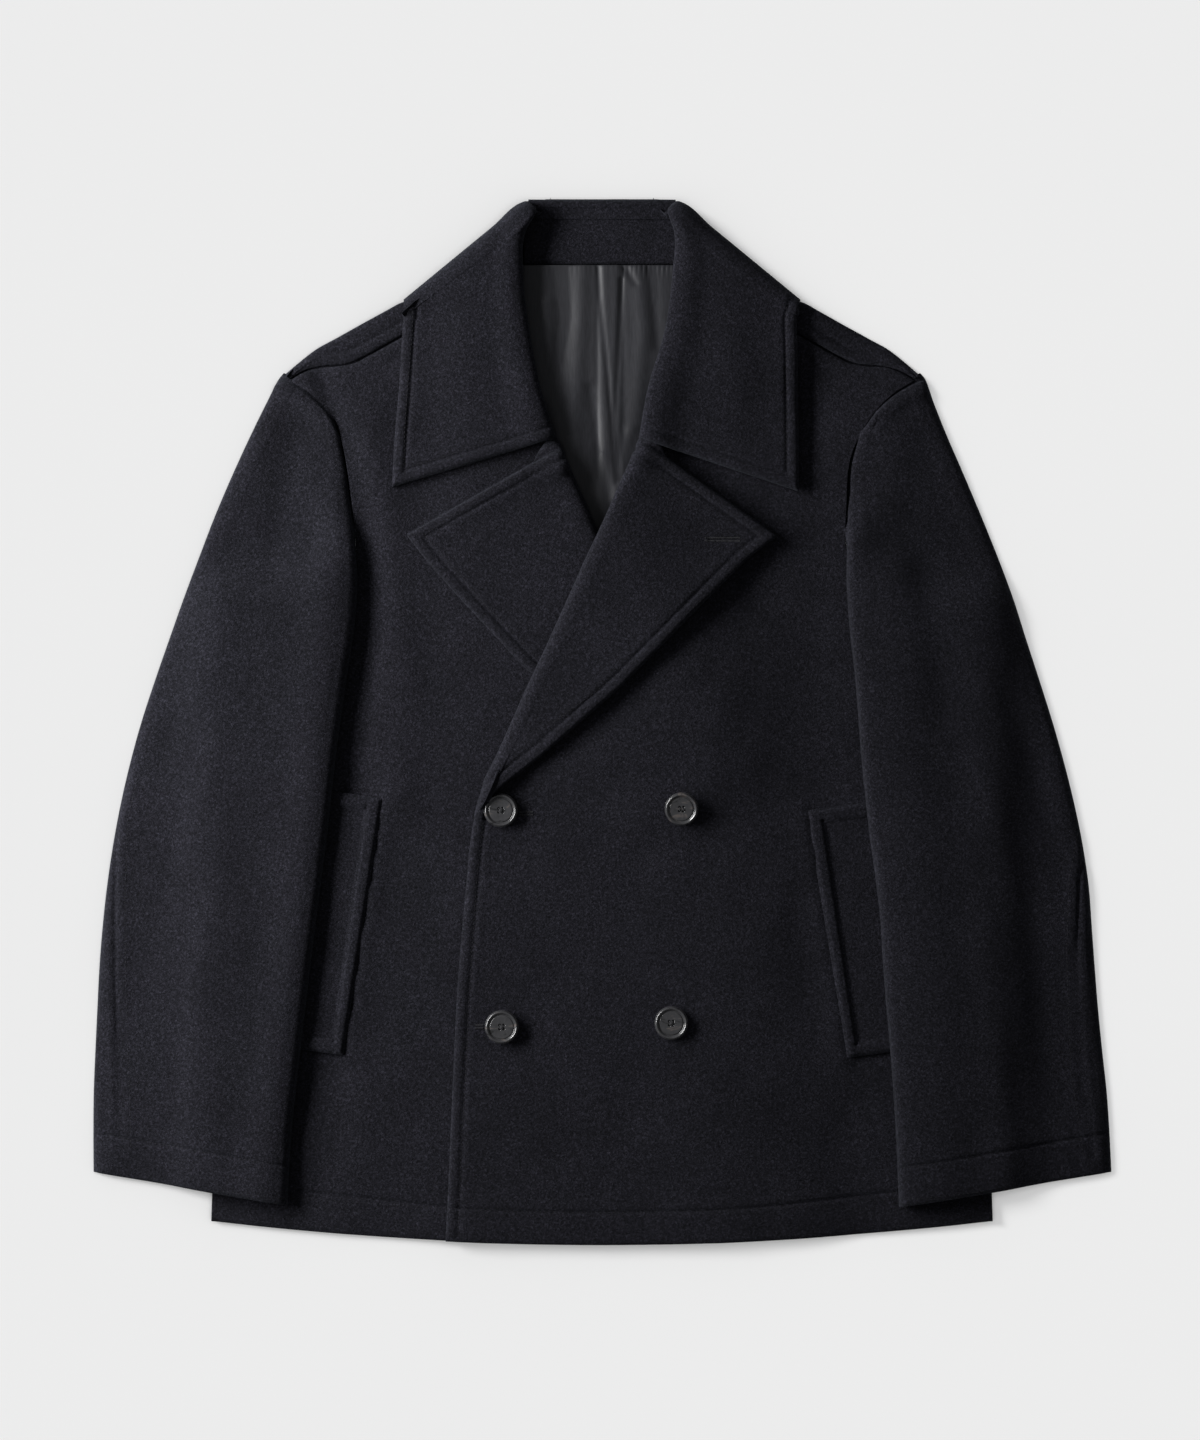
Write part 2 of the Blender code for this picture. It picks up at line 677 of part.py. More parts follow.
def main():
    global coat
    for obj in list(bpy.data.objects):
        bpy.data.objects.remove(obj)
    coat = bpy.data.collections.new("pea_coat")
    bpy.context.scene.collection.children.link(coat)
    make_back()
    make_lining()
    make_stand()
    make_collar()
    for side in SIGN:
        make_front(side)
        make_facing(side)
        make_sleeve_under(side)
        make_sleeve_top(side)
        make_welt(side)
    for number, (x, y) in enumerate(BUTTONS, 1):
        make_button(number, x, y)


main()
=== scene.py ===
"""Looks for the pea coat laid flat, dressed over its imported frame.

Plan sizes are in millimetres: +Y to the collar, +Z up. Left and right are the wearer's, so left is +X.
"""

import math

import bmesh
import bpy
import numpy as np
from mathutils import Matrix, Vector
from mathutils.bvhtree import BVHTree


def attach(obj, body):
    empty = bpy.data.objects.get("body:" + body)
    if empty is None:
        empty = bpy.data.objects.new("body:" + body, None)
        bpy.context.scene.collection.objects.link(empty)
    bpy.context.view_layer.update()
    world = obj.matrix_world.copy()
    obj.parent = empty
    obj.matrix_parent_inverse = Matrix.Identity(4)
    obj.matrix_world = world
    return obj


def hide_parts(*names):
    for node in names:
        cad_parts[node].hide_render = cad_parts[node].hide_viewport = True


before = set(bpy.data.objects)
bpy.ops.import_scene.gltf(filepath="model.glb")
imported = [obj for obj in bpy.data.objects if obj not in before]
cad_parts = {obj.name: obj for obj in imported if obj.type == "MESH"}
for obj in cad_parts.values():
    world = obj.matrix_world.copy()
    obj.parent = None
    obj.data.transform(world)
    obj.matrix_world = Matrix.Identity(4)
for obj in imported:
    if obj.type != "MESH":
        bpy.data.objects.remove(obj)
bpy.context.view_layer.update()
scene = bpy.context.scene
MM = 0.001

# Cloth and seams
WALL = 3.0            # melton
FACING_WALL = 2.5
COLLAR_WALL = 4.0     # two plies and canvas
LINING_WALL = 1.0
STAND_WALL = 3.5
WELT_WALL = 2.0
SEAM = 0.4            # gap between pieces that lie on each other

# Lengths
HEM_HALF = 281.2
HEM_Y = -376.2
HEM_LIFT = 16.6       # how much higher the hem is at the side seams
NECK_Y = 328.7        # back neck seam at the centre
CORNER = (54, 376)        # corner of the collar, where the diagonal fold starts
FALL = 113.0          # depth of the collar fall
SHOULDER_WRAP = 18.0  # how far the back comes forward over the shoulder
BUTTON_RADIUS = 12.0
BUTTON_HEIGHT = 4.0

# Levels
CROWN = 2.4           # the fronts lie this much higher near the centre, over the lining
OVERLAP_LIFT = 3.7    # the left front over the right one
LAPEL_LIFT = 11.3     # the left front over the right lapel
SLEEVE_LIFT = 9.2     # the sleeves over the fronts and the welts
RAMP = 40.0

# One row for each height down a sleeve: outer edge (half width, y), inner edge (half width, y)
SLEEVE_ROWS = {
    "left": [
        ((232.6, 247.3), (190.8, 213.5)), ((245.5, 213.5), (178.9, 186.8)),
        ((268.6, 159.5), (176.4, 137.9)), ((290.2, 105.5), (176.4, 87.5)),
        ((308.2, 51.5), (182.5, 26.3)), ((325.4, -2.5), (186.5, -25.6)),
        ((339.8, -56.5), (192.2, -79.6)), ((349.9, -110.5), (199.4, -134.3)),
        ((354.2, -164.5), (203, -187.6)), ((358.6, -218.5), (207.7, -241.6)),
        ((364.3, -272.5), (211.3, -295.6)), ((367.2, -324.4), (213.5, -348.8)),
    ],
    "right": [
        ((232.6, 247.3), (190.8, 213.5)), ((249.8, 213.5), (184.8, 186.8)),
        ((274.3, 159.5), (178.6, 137.9)), ((295.2, 105.5), (176.2, 87.5)),
        ((314.6, 51.5), (184.3, 26.3)), ((332.6, -2.5), (191.5, -25.6)),
        ((346.3, -56.5), (197.3, -79.6)), ((355.7, -110.5), (204.5, -134.3)),
        ((361.4, -164.5), (211, -187.6)), ((364.3, -218.5), (217.4, -241.6)),
        ((366.5, -272.5), (223.2, -295.6)), ((366.5, -324.4), (226.1, -347.4)),
    ],
}
ARMHOLE_BOW = 5.0      # how far the armhole seam bows to the neck from a straight line
BOW_WAY = (-0.63, 0.777)

# Half width and y of the shoulder fold, from the sleeve to the neck
SHOULDER = [(227.5, 250.5), (208.8, 266.5), (177, 284), (150, 298.5), (140, 303.5), (128, 304),
            (78, 327)]

# Fold line and outline of each lapel: x is towards the wearer's left for both
LAPELS = {
    "left": {"top": (27, 202), "break": (-86, -46),
             "edge": [(-78, -52), (-42.5, -24.2), (13, 24.1), (63.4, 75.4), (103.7, 115.9),
                      (126.7, 133.5)]},
    "right": {"top": (-29.2, 197), "break": (65, -20),
              "edge": [(58, -26), (10, 2), (-48, 31), (-84.6, 69.5), (-120, 108),
                       (-141, 134.5)]},
}

# Edge of each front below its lapel, from the hem up; the right one is hidden under the left front
FRONT_EDGE = {
    "left": [(-112.3, -373.6), (-109, -304), (-104.4, -200.5), (-97, -111), (-93.6, -78.8)],
    "right": [(109, -373.7), (104, -304), (98, -200), (88, -111), (82, -60)],
}

# Inner roll edge and outer edge of a collar leaf, from the gorge up to the diagonal fold
LEAF = {
    "left": [
        ((26.3, 203.3), (141.5, 165.5)), ((33, 240), (141.5, 200)), ((45, 281), (141, 235)),
        ((50.5, 322), (140.4, 268)), ((51.5, 352), (140, 290)),
    ],
    "right": [
        ((-33, 203.3), (-151, 168.5)), ((-44, 240), (-149, 205)), ((-52, 281), (-146, 240)),
        ((-56.5, 322), (-144, 270)), ((-54.5, 352), (-142.5, 290)),
    ],
}
DIAGONAL_END = (142.6, 303.5)
CURL = 4.6            # outer radius of the collar's roll
CURL_TAIL = 2.0

POCKETS = {"left": [(147, -64), (176.5, -242)], "right": [(-157.5, -55), (-186, -240)]}
WELT_WIDTH = 46.0     # the welt and the pocket mouth behind it, as far as under the sleeve
WELT_GAP = 0.55       # more room under its front edge, where the front isn't flat
WELT_RISE = 6.0       # its outer side is this much higher up the coat
BUTTONS = [(-72.7, -63.7), (56.9, -62.3), (-72.0, -219.2), (49.7, -216.4)]

SIGN = {"left": 1.0, "right": -1.0}


def smooth(value, low, high):
    """0 below low, 1 above high, with an even slope at both ends."""
    t = min(1.0, max(0.0, (value - low) / (high - low)))
    return t * t * (3.0 - 2.0 * t)


def mix(a, b, t):
    return a + (b - a) * t


def along(points, t):
    """The point at t from 0 to 1 along a list of points, evenly spaced by length."""
    lengths = [math.dist(a, b) for a, b in zip(points, points[1:])]
    left = t * sum(lengths)
    for a, b, length in zip(points, points[1:], lengths):
        if left <= length or b is points[-1]:
            f = min(1.0, left / length)
            return tuple(mix(p, q, f) for p, q in zip(a, b))
        left -= length


def rounded(points, t):
    """Like along, by rows: a smooth curve through the points, one row for each."""
    place = t * (len(points) - 1)
    i = min(int(place), len(points) - 2)
    f = place - i
    p1, p2 = points[i], points[i + 1]
    p0 = points[i - 1] if i else tuple(2 * a - b for a, b in zip(p1, p2))
    p3 = points[i + 2] if i + 2 < len(points) else tuple(2 * b - a for a, b in zip(p1, p2))
    return tuple(0.5 * (2 * b + (c - a) * f + (2 * a - 5 * b + 4 * c - d) * f * f
                        + (3 * b - a - 3 * c + d) * f ** 3) for a, b, c, d in zip(p0, p1, p2, p3))


def segment_distance(x, y, a, b):
    ux, uy = b[0] - a[0], b[1] - a[1]
    t = ((x - a[0]) * ux + (y - a[1]) * uy) / (ux * ux + uy * uy)
    t = min(1.0, max(0.0, t))
    return math.hypot(x - a[0] - ux * t, y - a[1] - uy * t)


def outside(x, y, polygon):
    """Distance outside a polygon, 0 within it."""
    inside = False
    nearest = 1e9
    for a, b in zip(polygon, polygon[1:] + polygon[:1]):
        if (a[1] > y) != (b[1] > y) and x < a[0] + (y - a[1]) * (b[0] - a[0]) / (b[1] - a[1]):
            inside = not inside
        nearest = min(nearest, segment_distance(x, y, a, b))
    return 0.0 if inside else nearest


# Levels of the layers, all as functions of place

def neck_lift(x, y):
    """The back panel rises over the collar fall, which lies on the floor behind the neck."""
    reach = math.hypot(max(abs(x) - CORNER[0], 0.0), CORNER[1] - y)
    return (COLLAR_WALL + 2.0 * SEAM) * (1.0 - smooth(reach, FALL + 8.0, FALL + 60.0))


def crown(x):
    return CROWN * (1.0 - smooth(abs(x), 90.0, 150.0))


def front_low(x, y):
    """Lower face of a front where it lies straight on the back."""
    return neck_lift(x, y) + WALL + SEAM + crown(x)


def right_front_limit(y):
    """The hidden edge of the right front, under the left one."""
    top, low = LAPELS["right"]["top"], LAPELS["right"]["break"]
    if y > low[1]:
        return mix(low[0], top[0], (y - low[1]) / (top[1] - low[1])) + 6.0
    return mix(low[0], 109.0, (low[1] - y) / (low[1] - HEM_Y)) + 34.0


def left_low(x, y):
    """Lower face of the left front, which also passes over the right front and its lapel."""
    over_front = OVERLAP_LIFT * (1.0 - smooth(x - right_front_limit(y), 4.0, 4.0 + RAMP))
    lapel = LAPELS["right"]
    shape = [lapel["top"]] + lapel["edge"][::-1] + [lapel["break"]]
    over_lapel = LAPEL_LIFT * (1.0 - smooth(outside(x, y, shape), 12.0, 12.0 + 2.0 * RAMP))
    return front_low(x, y) + max(over_front, over_lapel)


def low_face(side):
    return left_low if side == "left" else front_low


# Outline of the body, half width and y

UNDER_ARM = [(HEM_HALF, HEM_Y + HEM_LIFT), (278, -260), (274.5, -150), (271.5, -40), (269, 40),
             (268, 79)]
ARMPIT = [(232, 87), (200, 96), (181, 108)]


def armhole(side):
    """The side edge, from the hem to the shoulder."""
    gap = SEAM + 0.2
    inner = [sleeve_edges(side, t)[1] for t in (0.2, 0.15, 0.1, 0.05)]
    front = [(x - gap, y) for x, y in inner]
    seam = [armhole_seam(side, f, gap) for f in (1.0, 0.8, 0.65, 0.5, 0.35, 0.2, 0.0)]
    return UNDER_ARM + ARMPIT + front + seam


def sleeve_edges(side, t):
    """Outer and inner edge at t from the armhole at 0 to the cuff at 1."""
    rows = SLEEVE_ROWS[side]
    return rounded([r[0] for r in rows], t), rounded([r[1] for r in rows], t)


def armhole_seam(side, f, gap):
    """A point on the armhole seam in front, f across from the shoulder, set back by gap."""
    outer, inner = SLEEVE_ROWS[side][0]
    bow = ARMHOLE_BOW * 4.0 * f * (1.0 - f) + gap
    return mix(outer[0], inner[0], f) + BOW_WAY[0] * bow, mix(outer[1], inner[1], f) + BOW_WAY[1] * bow


def hem_y(x):
    return HEM_Y + HEM_LIFT * (x / HEM_HALF) ** 2


def sleeve_base(side, x, y):
    """Level that a sleeve lies on: the floor, or the body under its inner edge."""
    body = [p for p in armhole(side) if p[1] < 115.0] + [(176.0, 118.0), (0.0, 118.0), (0.0, HEM_Y)]
    return SLEEVE_LIFT * (1.0 - smooth(outside(abs(x), y, body), 3.0, 3.0 + RAMP))


# Shoulder seam, shared by the back, which wraps forward to it, and the fronts

OUT = (0.447, 0.894)          # from the body across the shoulder fold
SHOULDER_COLUMNS = 12
WRAP_FADE = 45.0              # the wrapped strip narrows to nothing this far from the sleeve


def fold_radius(x):
    return WALL + (SEAM + crown(x)) / 2.0


def shoulder_point(t):
    """Centre of the shoulder fold (half width, y), from the sleeve at 0 to the neck at 1."""
    x, y = along(SHOULDER, t)
    radius = fold_radius(x)
    return x - OUT[0] * radius, y - OUT[1] * radius


def wrap_length(x):
    return 1.0 + (SHOULDER_WRAP - 1.0) * smooth(SHOULDER[0][0] - x, 0.0, WRAP_FADE)


# Grids, finer than the solids' own: how far from its first and last column, and from its first and last
# row, each sheet has the fine step, then its pitch elsewhere and its fine step

FINENESS = {
    "back": ((14, 14), (14, 2), 4, 1),
    "shoulder": ((0, 0), (0, 20), 3, 0.8),
    "front": ((15, 4), (34, 16), 3.5, 0.9),
    "lapel": ((6, 12), (2, 2), 4, 1.5),
    "facing": ((15, 8), (26, 24), 2.5, 0.7),
    "sleeve_top": ((18, 14), (34, 22), 3, 0.9),
    "sleeve_under": ((2, 2), (4, 2), 6, 1.5),
    "collar": ((15, 15), (15, 6), 2.5, 0.8),
    "neck_roll": ((2, 2), (2, 2), 2, 1),
    "stand": ((2, 2), (6, 12), 2.5, 0.8),
    "lining": ((0, 0), (0, 14), 1.3, 0.6),
    "welt": ((17, 0), (17, 17), 2.5, 0.7),
}


def through(values, places):
    """Points on a smooth surface through rows of points, at fractional rows."""
    gaps = np.linalg.norm(np.diff(values, axis=0), axis=-1).mean(axis=1)[:, None, None]
    slopes = np.diff(values, axis=0) / gaps
    inner = (slopes[:-1] * gaps[1:] + slopes[1:] * gaps[:-1]) / (gaps[:-1] + gaps[1:])
    tangents = np.concatenate([slopes[:1], inner, slopes[-1:]])
    i = np.clip(places.astype(int), 0, len(values) - 2)
    f = (places - i)[:, None, None]
    h = gaps[i]
    return (values[i] * (2 * f ** 3 - 3 * f ** 2 + 1) + tangents[i] * h * (f ** 3 - 2 * f ** 2 + f)
            + values[i + 1] * (3 * f ** 2 - 2 * f ** 3) + tangents[i + 1] * h * (f ** 3 - f ** 2))


def cuts(values, fine, pitch, step):
    """Fractional rows, step apart within fine[0] of the start and fine[1] of the end, else pitch apart."""
    gaps = np.linalg.norm(np.diff(values, axis=0), axis=-1).mean(axis=1)
    run = np.concatenate([[0.0], np.cumsum(gaps)])
    marks, mark = [], 0.0
    while mark < run[-1] - 0.5 * step:
        marks.append(mark)
        mark += step if mark < fine[0] or mark > run[-1] - fine[1] - pitch else pitch
    return np.interp(marks + [run[-1]], run, np.arange(len(run)))


def surface(place, columns, rows, kind):
    """A fine grid of points through place(i, j)."""
    across, down, pitch, step = FINENESS[kind]
    points = np.array([[tuple(place(i, j)) for j in range(rows + 1)] for i in range(columns + 1)], float)
    points = through(points, cuts(points, across, pitch, step)).swapaxes(0, 1)
    return through(points, cuts(points, down, pitch, step)).swapaxes(0, 1)


def normals(points, way):
    n = np.cross(np.gradient(points, axis=0), np.gradient(points, axis=1))
    return way * n / np.maximum(np.linalg.norm(n, axis=-1, keepdims=True), 1e-9)


def shell(points, wall, way, near=0.0, far=0.0):
    """Closed cloth on a grid: near swells the grid's own side, far the other, where its normal points."""
    n = normals(points, way)
    a = points - n * np.broadcast_to(near, points.shape[:2])[..., None]
    b = points + n * (wall + np.broadcast_to(far, points.shape[:2]))[..., None]
    columns, rows = points.shape[:2]
    index = np.arange(columns * rows).reshape(columns, rows)
    quads = np.stack([index[:-1, :-1], index[1:, :-1], index[1:, 1:], index[:-1, 1:]], axis=-1).reshape(-1, 4)
    other = quads + columns * rows
    ring = np.concatenate([index[:, 0], index[-1, 1:], index[-2::-1, -1], index[0, -2::-1]])
    rim = np.stack([ring[:-1], ring[1:], ring[1:] + columns * rows, ring[:-1] + columns * rows], axis=-1)
    if way > 0:
        quads = quads[:, ::-1]
    else:
        other, rim = other[:, ::-1], rim[:, ::-1]
    return np.concatenate([a.reshape(-1, 3), b.reshape(-1, 3)]), np.concatenate([quads, other, rim])


def dress(name, mesh, look, nodes):
    """An object on the root body, which stands for the named solids."""
    mesh.shade_smooth()
    mesh.materials.append(look)
    obj = bpy.data.objects.new(name, mesh)
    scene.collection.objects.link(obj)
    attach(obj, "root")
    if nodes:
        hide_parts(*nodes)
    return obj


def piece(name, shells, look, nodes):
    """A dressed mesh of one or more shells, none of it below the floor."""
    verts, faces, count = [], [], 0
    for v, f in shells:
        verts.append(v)
        faces.append(f + count)
        count += len(v)
    verts = np.concatenate(verts)
    verts[:, 2] = np.maximum(verts[:, 2], 0.0)
    mesh = bpy.data.meshes.new(name)
    mesh.from_pydata((verts * MM).tolist(), [], np.concatenate(faces).tolist())
    mesh.validate()
    return dress(name, mesh, look, nodes)


# Relief, as heights over plan places

RIM = 8.6              # topstitching is this far in from a turned edge
STITCH_BACK = 4.0      # and the cloth is puffed again this far behind it

# Seams and edges, as bells over the distance from their line: height, distance, half width
CUT_EDGE = [(-0.8, 0.0, 1.5)]
HEM_EDGE = [(-1.2, 0.0, 1.4), (0.35, 12.0, 9.0)]
CUFF_EDGE = [(-1.3, 0.0, 1.3), (0.4, 12.0, 9.0)]
HEM_GROOVE = [(-0.9, 0.0, 1.3), (0.25, STITCH_BACK, 3.0)]
CUFF_GROOVE = [(-0.9, 0.0, 1.2), (0.2, STITCH_BACK, 3.0)]
SHOULDER_SEAM = [(-0.8, 0.0, 1.1), (0.4, 5.0, 4.0)]
ARMHOLE_SEAM = [(-1.0, 0.0, 1.2), (1.0, 8.0, 5.0)]
HINDARM_SEAM = [(-0.9, 0.0, 1.3), (0.5, 5.0, 3.0)]
NECK_SEAM = [(-1.0, 0.0, 1.5)]


def bell(values, width):
    return np.exp(-(values / width) ** 2)


def bells(d, rows):
    return sum(height * bell(d - at, width) for height, at, width in rows)


def seam(points, line, rows):
    return bells(distance(points, line), rows)


def ease(values, low, high):
    """Like smooth, for arrays."""
    t = np.clip((values - low) / (high - low), 0.0, 1.0)
    return t * t * (3.0 - 2.0 * t)


def plan(points):
    """Points as a line seen from above."""
    return [tuple(p[:2]) for p in points]


def distance(points, line):
    """Distance in plan from each point to a line of points."""
    found = np.full(points.shape[:-1], 1e9)
    for a, b in zip(line, line[1:]):
        a, u = np.array(a, float), np.array(b, float) - np.array(a, float)
        t = np.clip(((points[..., :2] - a) @ u) / (u @ u), 0.0, 1.0)
        found = np.minimum(found, np.linalg.norm(points[..., :2] - a - t[..., None] * u, axis=-1))
    return found


def creases(points, folds):
    """Soft troughs, or ridges where the depth is negative: rows of line, width and depth."""
    return sum(-depth * bell(distance(points, line), width) for line, width, depth in folds)


def rim_relief(d, inset=RIM, puff=0.65, groove=0.65, drop=1.2):
    """A turned and topstitched edge: rounded over, puffed up to its stitching, and drawn in there."""
    swell = puff * np.sin(np.pi * np.clip(d / inset, 0.0, 1.0)) ** 0.8
    return swell + bells(d, [(-drop, 0.0, 1.3), (-groove, inset, 1.3), (0.25, inset + STITCH_BACK, 3.0)])


def waves(points, seed):
    """Slow swells of the cloth, a different set for each seed."""
    turn = np.random.default_rng(seed)
    height = np.zeros(points.shape[:-1])
    for length, high in ((160.0, 0.275), (110.0, 0.225), (70.0, 0.14), (45.0, 0.08)):
        for _ in range(3):
            angle, phase = turn.uniform(0.0, math.pi), turn.uniform(0.0, 2.0 * math.pi)
            way = np.array([math.cos(angle), math.sin(angle)]) * 2.0 * math.pi
            way = way / (length * turn.uniform(0.8, 1.25))
            height += high * np.sin(points[..., :2] @ way + phase)
    return height


# Materials

WOOL = (0.0068, 0.0066, 0.0090)
SATIN = (0.013, 0.0132, 0.0155)
HORN = (0.022, 0.022, 0.0235)
HORN_STREAK = (0.05, 0.043, 0.040)
BUTTON_THREAD = (0.02, 0.02, 0.022)
HOLE_THREAD = (0.011, 0.011, 0.013)
WHITE = (1.0, 1.0, 1.0)
PALE_FLOOR = ((0.888, 0.886, 0.882), (0.892, 0.89, 0.886))
FIBRE_TURN = 0.5       # stretched noise is turned this far from the axes, in radians


def set_values(node, values):
    for name, value in values.items():
        node.inputs[name].default_value = value


def shader_nodes(name, values):
    """A material with these values on its own shader, and places in the object's own space."""
    look = bpy.data.materials.new(name)
    look.use_nodes = True
    tree = look.node_tree
    shader = tree.nodes["Principled BSDF"]
    set_values(shader, values)
    return look, tree, shader, tree.nodes.new("ShaderNodeTexCoord").outputs["Object"]


def mapped(tree, place, values):
    node = tree.nodes.new("ShaderNodeMapping")
    set_values(node, values)
    tree.links.new(place, node.inputs["Vector"])
    return node.outputs["Vector"]


def noise(tree, place, scale, detail, roughness=0.5, stretch=None, distortion=0.0):
    if stretch:
        place = mapped(tree, place, {"Scale": stretch, "Rotation": (0.0, 0.0, FIBRE_TURN)})
    node = tree.nodes.new("ShaderNodeTexNoise")
    set_values(node, {"Scale": scale, "Detail": detail, "Roughness": roughness, "Distortion": distortion})
    tree.links.new(place, node.inputs["Vector"])
    return node.outputs["Fac"]


def ramp(tree, value, stops):
    """A colour from rows of position and colour."""
    node = tree.nodes.new("ShaderNodeValToRGB")
    while len(node.color_ramp.elements) < len(stops):
        node.color_ramp.elements.new(0.5)
    for element, (position, colour) in zip(node.color_ramp.elements, stops):
        element.position = position
        element.color = (*colour, 1.0)
    tree.links.new(value, node.inputs["Fac"])
    return node.outputs["Color"]


def tint(colour, share):
    return tuple(c * share for c in colour)


def tinted(tree, value, colour, stops):
    """One colour, darker or lighter by rows of position and share."""
    return ramp(tree, value, [(position, tint(colour, share)) for position, share in stops])


def shaded(tree, colour, value, stops, factor=1.0):
    """A colour times a grey from rows of position and share."""
    grey = tinted(tree, value, WHITE, stops)
    node = tree.nodes.new("ShaderNodeMix")
    node.data_type = "RGBA"
    node.blend_type = "MULTIPLY"
    node.inputs["Factor"].default_value = factor
    tree.links.new(colour, node.inputs["A"])
    tree.links.new(grey, node.inputs["B"])
    return node.outputs["Result"]


def finish_look(tree, shader, colour, layers):
    """Sets the colour, and bump from (height, strength, distance) layers, one on the other."""
    tree.links.new(colour, shader.inputs["Base Color"])
    normal = None
    for height, strength, depth in layers:
        node = tree.nodes.new("ShaderNodeBump")
        set_values(node, {"Strength": strength, "Distance": depth})
        tree.links.new(height, node.inputs["Height"])
        if normal:
            tree.links.new(normal, node.inputs["Normal"])
        normal = node.outputs["Normal"]
    tree.links.new(normal, shader.inputs["Normal"])


def wool_look():
    """Melton: a felted nap of short curled fibres, with clumps and a slow mottle."""
    look, tree, shader, place = shader_nodes("melton", {
        "Roughness": 0.95, "Specular IOR Level": 0.05, "Sheen Weight": 0.03, "Sheen Roughness": 0.5,
        "Sheen Tint": (0.75, 0.85, 1.0, 1.0)})
    nap = noise(tree, place, 640.0, 4.0, 0.7, distortion=0.8)
    hairs = noise(tree, place, 300.0, 4.0, 0.65, (1.0, 2.4, 1.0), 1.6)
    clumps = noise(tree, place, 130.0, 3.0, 0.6)
    drift = noise(tree, place, 26.0, 3.0)
    colour = tinted(tree, nap, WOOL, [(0.32, 0.25), (0.50, 0.95), (0.66, 2.7)])
    colour = shaded(tree, colour, hairs, [(0.35, 0.65), (0.62, 1.0), (0.74, 1.9)], 0.8)
    colour = shaded(tree, colour, drift, [(0.3, 0.86), (0.7, 1.12)])
    finish_look(tree, shader, colour, [(clumps, 0.35, 0.0012), (hairs, 0.7, 0.0011), (nap, 0.9, 0.0009)])
    return look


def satin_look():
    """Lining satin: smooth, with a fine twill line and a soft gloss along its folds."""
    look, tree, shader, place = shader_nodes("satin", {
        "Roughness": 0.46, "Specular IOR Level": 0.18, "Anisotropic": 0.4, "Sheen Weight": 0.02,
        "Sheen Roughness": 0.3})
    threads = noise(tree, place, 900.0, 2.0, stretch=(1.0, 0.12, 1.0))
    drift = noise(tree, place, 30.0, 2.0, stretch=(1.0, 0.35, 1.0))
    colour = tinted(tree, threads, SATIN, [(0.35, 0.85), (0.65, 1.12)])
    colour = shaded(tree, colour, drift, [(0.3, 0.86), (0.7, 1.1)])
    finish_look(tree, shader, colour, [(threads, 0.12, 0.0003)])
    return look


def horn_look(name, seed):
    """Polished horn-like resin: dark, with paler curved streaks."""
    look, tree, shader, place = shader_nodes(name, {
        "Roughness": 0.27, "Specular IOR Level": 0.4, "Coat Weight": 0.25})
    place = mapped(tree, place, {"Location": (0.37 * seed, 0.19 * seed, 0.0)})
    cloud = noise(tree, place, 60.0, 3.0, 0.55, (1.0, 2.6, 1.0), 1.4)
    grain = noise(tree, place, 700.0, 3.0, 0.6, (1.0, 0.3, 1.0), 0.5)
    stops = [(0.30, tint(HORN, 0.3)), (0.40, tint(HORN, 0.85)), (0.60, HORN), (0.68, HORN_STREAK)]
    colour = shaded(tree, ramp(tree, cloud, stops), grain, [(0.35, 0.8), (0.65, 1.15)], 0.7)
    finish_look(tree, shader, colour, [(grain, 0.05, 0.0001)])
    return look


def thread_look(name, colour):
    look, tree, shader, place = shader_nodes(name, {
        "Roughness": 0.6, "Specular IOR Level": 0.15, "Sheen Weight": 0.02, "Sheen Roughness": 0.4})
    twist = noise(tree, place, 1800.0, 2.0)
    finish_look(tree, shader, tinted(tree, twist, colour, [(0.35, 0.7), (0.65, 1.3)]), [(twist, 0.4, 0.0002)])
    return look


melton = wool_look()
satin = satin_look()


def sewn(node, *shells, name=None):
    """A sheet of the coat's wool, which stands for the solid of that name."""
    return piece((name or node) + "_cloth", shells, melton, [node])


# The back

HALF = 16              # columns each side of the centre
UP, TOP_ROWS = 7, 14   # rows up to the armpit and above it
UNDERARM = 5           # the armpit's point on the side edge
FOLD_STEPS = 4         # steps round a folded edge
STRIP_RIM = dict(inset=8.0, puff=0.6, groove=0.45, drop=0.8)


def top_edge(u):
    """Shoulder fold from the sleeve to the neck, then the neck curve."""
    columns_in = (1.0 - abs(u)) * HALF
    if columns_in <= SHOULDER_COLUMNS:
        return shoulder_point(columns_in / SHOULDER_COLUMNS)
    x, y = shoulder_point(1.0)
    t = abs(u) * HALF / (HALF - SHOULDER_COLUMNS)
    return x * t, mix(NECK_Y - SEAM, y, t ** 3)


armholes = {side: armhole(side) for side in SIGN}


def back_place(i, j):
    u = i / HALF - 1.0
    side = "left" if u > 0 else "right"
    edge = armholes[side]
    if j <= UP:
        x, y = rounded(edge[:UNDERARM + 1], j / UP)
        y += (hem_y(u * HEM_HALF) - hem_y(HEM_HALF)) * (1.0 - j / UP)
        x *= u
    else:
        t = (j - UP) / TOP_ROWS
        ex, ey = edge[UNDERARM + j - UP]
        px, py = top_edge(u)
        x = SIGN[side] * ex * mix(abs(u), px / top_edge(1.0)[0], smooth(t, 0.4, 1.0))
        y = mix(mix(edge[UNDERARM][1], py, t), ey, u ** 4)
        if j == UP + TOP_ROWS:
            x, y = SIGN[side] * px, py
    return x, y, neck_lift(x, y)


